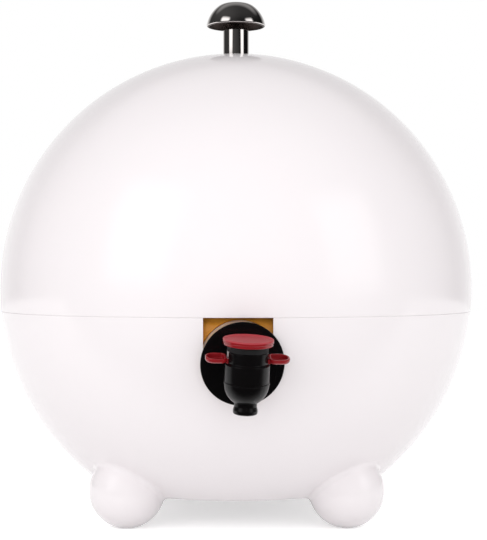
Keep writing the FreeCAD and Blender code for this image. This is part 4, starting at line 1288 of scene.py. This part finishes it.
class DISPENSER_OT_gland(bpy.types.Operator):
    """Mould the bag's gland behind the disc"""

    bl_idname = "dispenser.gland"
    bl_label = "Gland"

    def execute(self, context):
        tap = context.scene.dispenser_tap
        bore = tap.spigot_radius + TOUCH
        front = tap.disc_back + tap.disc_thickness + tap.gland_gap
        rear = tap.disc_back + tap.gland_rear_back
        end = rear + tap.gland_rear_wall
        gland = turned("bag_gland_ring", rounded([
            (bore, front),
            (tap.gland_front, front, EDGE),
            (tap.gland_front, front + tap.gland_thickness, EDGE),
            (tap.gland_neck, front + tap.gland_thickness, SOFT_EDGE),
            (tap.gland_neck, rear, SOFT_EDGE),
            (tap.gland_rear, rear, EDGE),
            (tap.gland_rear, end, EDGE),
            (bore, end),
        ]), tap.steps, natural_satin())
        place(gland, tap_stance() @ ALONG_PASSAGE)
        dress(gland, "base", "gland_plastic", "bag_gland")
        return {"FINISHED"}


def bag_reach(directions, middle, ball, bag, top, base):
    """Distance from the bag's middle to its film, along each direction."""
    skin = ball.radius - ball.wall - bag.gap
    steep = directions[:, 2]

    def to_sphere(centre, radius):
        offset = middle - np.array((0, 0, centre))
        along = directions @ offset
        return -along + np.sqrt(along ** 2 - offset @ offset + radius ** 2)

    shoulder = math.sqrt(skin ** 2 - bag.shoulder_drop ** 2)
    crown = (shoulder ** 2 + bag.crown ** 2) / (2 * bag.crown)
    walls = [to_sphere(0, skin), to_sphere(top - crown, crown)]
    level, out_of_reach, sharpness = -1e-3, 10, 60.0
    walls.append(np.where(steep < level, (base - middle[2]) / np.minimum(steep, level), out_of_reach))
    return sum(wall ** -sharpness for wall in walls) ** (-1 / sharpness)


def crumple(film, bag):
    """Let the film's spare size crumple under the wine's pressure, and hold each point near its place."""
    start = points_of(film)
    cloth = film.modifiers.new("crumple", "CLOTH")
    settings = cloth.settings
    settings.quality = 6
    settings.mass = 0.12
    settings.tension_stiffness = settings.compression_stiffness = 40
    settings.shear_stiffness = 20
    settings.bending_stiffness = 0.4
    settings.use_pressure = True
    settings.uniform_pressure_force = 4
    settings.shrink_min = -bag.slack
    settings.effector_weights.gravity = 0
    cloth.point_cache.frame_end = bag.frames
    for number in range(1, bag.frames + 1):
        bpy.context.scene.frame_set(number)
    bake_modifiers(film)
    bpy.context.scene.frame_set(1)
    moved = points_of(film) - start
    far = np.linalg.norm(moved, axis=1, keepdims=True)
    set_points(film, start + moved * np.minimum(1, bag.most / np.maximum(far, 1e-9)))


def weld_seam(film, bag):
    """The flat weld across the bag's top, laid on the film."""
    hits = bvhtree.BVHTree.FromObject(film, bpy.context.evaluated_depsgraph_get())
    half_long, half_wide, lift, above = 0.108, 0.004, 0.00035, 0.2
    behind, sway, sway_rate = 0.018, 0.004, 31
    ripple_height, ripple_rate, ripple_end = 0.00012, 900, 0.005
    rows = []
    for x in np.linspace(-half_long, half_long, 145):
        bend = behind + sway * math.sin(x * sway_rate)
        row = []
        for across in np.linspace(-half_wide, half_wide, 7):
            spot = hits.ray_cast(Vector((x, bend + across, above)), Vector((0, 0, -1)))[0]
            ripple = ripple_height * math.sin(x * ripple_rate) * (1 - abs(across) / ripple_end)
            row.append((spot.x, spot.y, spot.z + lift + ripple))
        rows.append(row)
    wide = len(rows[0])
    points = [point for row in rows for point in row]
    faces = [(i * wide + j, (i + 1) * wide + j, (i + 1) * wide + j + 1, i * wide + j + 1)
             for i in range(len(rows) - 1) for j in range(wide - 1)]
    seam = mesh_from("weld", points, faces=faces)
    wall = seam.modifiers.new("wall", "SOLIDIFY")
    wall.thickness = 0.0003
    bake_modifiers(seam)
    return crease(seam, 50)


class DISPENSER_OT_bag(bpy.types.Operator):
    """Crumple the filled bag's film, press it round the gland and weld its seam"""

    bl_idname = "dispenser.bag"
    bl_label = "Filled bag"

    def execute(self, context):
        scene = context.scene
        ball, tap, bag = scene.dispenser_ball, scene.dispenser_tap, scene.dispenser_bag
        base = ball.wall + bag.gap - ball.base_drop
        top = bag.crown - bag.shoulder_drop
        middle = np.array((0, 0, (top + base) / 2))
        film = new_object("filled_bag", bpy.data.meshes.new("filled_bag"))
        with editing(film) as mesh:
            bmesh.ops.create_icosphere(mesh, subdivisions=6, radius=1)
            directions = np.array([vert.co.normalized() for vert in mesh.verts])
            reach = bag_reach(directions, middle, ball, bag, top, base)
            for vert, way, far in zip(mesh.verts, directions, reach):
                vert.co = middle + way * far
        even = film.modifiers.new("even mesh", "REMESH")
        even.mode = "VOXEL"
        even.voxel_size = bag.voxel
        bake_modifiers(film)
        crumple(film, bag)
        finer = film.modifiers.new("finer", "SUBSURF")
        finer.levels = finer.render_levels = 1
        bake_modifiers(film)

        points = points_of(film)
        size = np.linalg.norm(points, axis=1, keepdims=True)
        points *= np.minimum(1, (ball.radius - ball.wall - bag.gap / 2) / size)
        points[:, 2] = np.clip(points[:, 2], base - bag.gap / 2, top)
        set_points(film, points)
        place(film, Matrix.Translation((0, 0, ball.centre_height)))
        behind = tap.disc_back + tap.gland_rear_back + tap.gland_rear_wall + bag.recess_room
        recess = rod("recess", tap.gland_rear + bag.recess_gap, behind - bag.recess_depth, behind)
        combine(film, place(recess, tap_stance() @ ALONG_PASSAGE), "DIFFERENCE")

        seam = weld_seam(film, bag)
        with context.temp_override(active_object=film, selected_editable_objects=[film, seam]):
            bpy.ops.object.join()
        crease(film, 60)
        coat(film, bag_film("Amber film"))
        dress(film, "base", "bag_film", "wine_bag")
        return {"FINISHED"}


# Stage


def seen_ray(tree):
    """1 for rays from the camera, off glossy surfaces or through clear ones, and 0 for the rest."""
    rays = add_node(tree, "ShaderNodeLightPath").outputs
    first = math_node(tree, "MAXIMUM", rays["Is Camera Ray"], rays["Is Glossy Ray"])
    return math_node(tree, "MAXIMUM", first, rays["Is Transmission Ray"])


def place_in(tree, system="Object"):
    """The place on the object, or in the system named, split into X, Y and Z."""
    place_on = add_node(tree, "ShaderNodeTexCoord").outputs[system]
    return place_on, add_node(tree, "ShaderNodeSeparateXYZ", {0: place_on}).outputs


def floor_material(stage):
    """White sweep that takes the object's shadow. Mirrors show it ending before the object."""
    material, tree, shown = blank_material("Studio floor", "ShaderNodeMixShader")
    matt = add_node(tree, "ShaderNodeBsdfDiffuse", {"Color": (stage.floor_white,) * 3 + (1,)})
    lift = math_node(tree, "MULTIPLY", seen_ray(tree), stage.floor_lift)
    glow = add_node(tree, "ShaderNodeEmission", {"Strength": lift})
    lit = add_node(tree, "ShaderNodeAddShader", {0: matt, 1: glow})
    front = add_node(tree, "ShaderNodeMapRange", {
        "Value": place_in(tree)[1]["Y"], "From Min": -stage.sweep_front,
        "From Max": -stage.sweep_front - stage.sweep_fade,
    }, interpolation_type="SMOOTHSTEP")
    past = math_node(tree, "MULTIPLY", front, add_node(tree, "ShaderNodeLightPath").outputs["Is Glossy Ray"])
    dim = add_node(tree, "ShaderNodeEmission", {"Strength": stage.studio_right})
    for number, source in enumerate((past, lit, dim)):
        tree.links.new(source.outputs[0], shown.inputs[number])
    return material


def side_boxes(stage):
    """The softboxes beside the camera: side, turn, rise, width and height."""
    return (
        (-1, stage.left_turn, stage.left_rise, stage.left_width, stage.left_height),
        (1, stage.right_turn, stage.right_rise, stage.right_width, stage.right_height),
    )


def studio_material(stage):
    """Dim studio that mirrors show: dark walls, a grey ceiling, a pale backdrop and two soft panels."""
    material, tree, glow = blank_material("Dim studio", "ShaderNodeEmission")
    place_on, split = place_in(tree)

    def fade(source, start, end, low, high):
        """Soft slope from low to high between two places, which are shares of the studio's radius."""
        return add_node(tree, "ShaderNodeMapRange", {
            "Value": source, "From Min": start * stage.studio_size, "From Max": end * stage.studio_size,
            "To Min": low, "To Max": high,
        }, interpolation_type="SMOOTHSTEP")

    def along(way):
        dot = add_node(tree, "ShaderNodeVectorMath", {0: place_on, 1: way}, operation="DOT_PRODUCT")
        return dot.outputs["Value"]

    def inside(offset, ahead, half):
        """1 within a softbox's half width or height, fading to 0 at its soft edge."""
        size = math_node(tree, "ABSOLUTE", math_node(tree, "DIVIDE", offset, ahead))
        half /= stage.box_distance
        edge = half * stage.box_edge
        return fade(size, (half + edge) / stage.studio_size, (half - edge) / stage.studio_size, 0, 1)

    x, y, z = split["X"], split["Y"], split["Z"]
    sides = fade(x, -0.6, 0.35, stage.studio_left, stage.studio_right)
    walls = math_node(tree, "ADD", sides, fade(y, -0.75, -0.95, 0, stage.studio_front))
    ceiling = fade(z, 0.45, 0.95, 0, stage.studio_ceiling)
    backdrop = math_node(tree, "MULTIPLY", fade(y, 0.5, 0.9, 0, 1), fade(z, 0.1, 0.9, 1, 0.4))
    over = math_node(tree, "MULTIPLY", fade(y, 0, 0.45, 0, 1), fade(z, 0.6, 0.85, 0, 0.35))
    shine = math_node(tree, "MAXIMUM", math_node(tree, "ADD", walls, ceiling),
                      math_node(tree, "MAXIMUM", backdrop, over))
    for side, turn, rise, width, height in side_boxes(stage):
        away = way_to(side, turn, rise)
        level = Vector((-away.y, away.x, 0)).normalized()
        ahead = along(away)
        panel = math_node(tree, "MULTIPLY", inside(along(level), ahead, width / 2),
                          inside(along(away.cross(level)), ahead, height / 2))
        lit = math_node(tree, "MULTIPLY", panel, fade(ahead, 0.2, 0.3, 0, stage.box_glow))
        shine = math_node(tree, "MAXIMUM", shine, lit)
    tree.links.new(shine.outputs[0], glow.inputs["Strength"])
    return material


def way_to(side, turn, rise):
    """Direction to one side of the camera, and up."""
    return Vector((side * math.sin(turn) * math.cos(rise), -math.cos(turn) * math.cos(rise), math.sin(rise)))


def softbox(name, side, turn, rise, width, height, stage):
    """Lamp to one side of the camera, facing the ball."""
    lamp = bpy.data.lights.new(name, "AREA")
    lamp.shape = "RECTANGLE"
    lamp.size, lamp.size_y = width, height
    lamp.energy = stage.box_light * (stage.right_share if side > 0 else 1) * math.pi * width * height
    centre = Vector((0, 0, bpy.context.scene.dispenser_ball.centre_height))
    away = way_to(side, turn, rise)
    obj = new_object(name, lamp)
    obj.visible_glossy = False
    obj.matrix_world = (Matrix.Translation(centre + away * stage.box_distance)
                        @ away.to_track_quat("Z", "Y").to_matrix().to_4x4())
    return obj


class DISPENSER_OT_stage(bpy.types.Operator):
    """Set up the camera, the softboxes, the floor and the studio"""

    bl_idname = "dispenser.stage"
    bl_label = "Stage"

    def execute(self, context):
        scene, stage = context.scene, context.scene.dispenser_stage
        scene.view_settings.view_transform = "Standard"
        lens = bpy.data.cameras.new("Camera")
        lens.lens = stage.lens
        lens.shift_x, lens.shift_y = stage.shift_right, -stage.shift_down
        camera = new_object("Camera", lens)
        camera.matrix_world = (Matrix.Rotation(-stage.turn, 4, "Z")
                               @ Matrix.Translation((0, -stage.distance, stage.eye_height))
                               @ Matrix.Rotation(math.pi / 2, 4, "X"))
        scene.camera = camera
        front = (0, 0, stage.front_rise, stage.front_width, stage.front_height)
        for name, box in zip(("Front", "Left", "Right"), (front, *side_boxes(stage))):
            softbox(name + " softbox", *box, stage)

        half = stage.floor_size / 2
        corners = [(x * half, y * half, 0) for x, y in ((-1, -1), (1, -1), (1, 1), (-1, 1))]
        floor = mesh_from("studio_floor", corners, faces=[(0, 1, 2, 3)])
        coat(floor, floor_material(stage))

        size = stage.studio_size
        studio = new_object("studio_walls", bpy.data.meshes.new("studio_walls"))
        with editing(studio) as walls:
            bmesh.ops.create_uvsphere(walls, u_segments=64, v_segments=32, radius=size)
            below = [vert for vert in walls.verts if vert.co.z < -0.01 * size]
            bmesh.ops.delete(walls, geom=below, context="VERTS")
            bmesh.ops.reverse_faces(walls, faces=walls.faces)
        coat(studio, studio_material(stage))
        studio.visible_camera = studio.visible_diffuse = studio.visible_shadow = False
        studio.visible_transmission = studio.visible_volume_scatter = False

        world = bpy.data.worlds.new("Studio")
        world.cycles.sampling_method = "NONE"
        world.use_nodes = True
        scene.world = world
        tree = world.node_tree
        tree.nodes.clear()
        height = place_in(tree, "Generated")[1]["Z"]
        strength = add_node(tree, "ShaderNodeMapRange", {
            "Value": height, "To Min": stage.room_light, "To Max": stage.top_light,
        })
        white = (1, 1, 1, 1)
        room = add_node(tree, "ShaderNodeBackground", {"Color": white, "Strength": strength})
        backdrop = add_node(tree, "ShaderNodeBackground", {"Color": white})
        both = add_node(tree, "ShaderNodeMixShader", {0: seen_ray(tree), 1: room, 2: backdrop})
        add_node(tree, "ShaderNodeOutputWorld", {"Surface": both})
        return {"FINISHED"}


class DISPENSER_PT_panel(bpy.types.Panel):
    """Sizes, colours and the steps that build the dispenser"""

    bl_label = "Ball wine dispenser"
    bl_idname = "DISPENSER_PT_panel"
    bl_space_type = "VIEW_3D"
    bl_region_type = "UI"
    bl_category = "Dispenser"

    def draw(self, context):
        layout = self.layout
        for name, kind in SETTINGS.items():
            box = layout.box()
            box.label(text=kind.__doc__)
            group = getattr(context.scene, name)
            for entry in kind.__annotations__:
                box.prop(group, entry)
        for operator in OPERATORS:
            layout.operator(operator.bl_idname)


SETTINGS = {
    "dispenser_ball": BallSizes,
    "dispenser_knob": KnobSizes,
    "dispenser_tap": TapSizes,
    "dispenser_bag": BagSizes,
    "dispenser_stage": StageSettings,
}
OPERATORS = (
    DISPENSER_OT_bowl,
    DISPENSER_OT_dome,
    DISPENSER_OT_knob,
    DISPENSER_OT_tap,
    DISPENSER_OT_wings,
    DISPENSER_OT_button,
    DISPENSER_OT_gland,
    DISPENSER_OT_bag,
    DISPENSER_OT_stage,
)


def register():
    for kind in (*SETTINGS.values(), *OPERATORS, DISPENSER_PT_panel):
        bpy.utils.register_class(kind)
    for name, kind in SETTINGS.items():
        setattr(bpy.types.Scene, name, bpy.props.PointerProperty(type=kind))


def unregister():
    for name in SETTINGS:
        delattr(bpy.types.Scene, name)
    for kind in (DISPENSER_PT_panel, *reversed(OPERATORS), *SETTINGS.values()):
        bpy.utils.unregister_class(kind)


def main():
    register()
    bpy.ops.dispenser.bowl()
    bpy.ops.dispenser.dome()
    bpy.ops.dispenser.knob()
    bpy.ops.dispenser.tap()
    bpy.ops.dispenser.wings()
    bpy.ops.dispenser.button()
    bpy.ops.dispenser.gland()
    bpy.ops.dispenser.bag()
    bpy.ops.dispenser.stage()


if __name__ == "__main__":
    main()
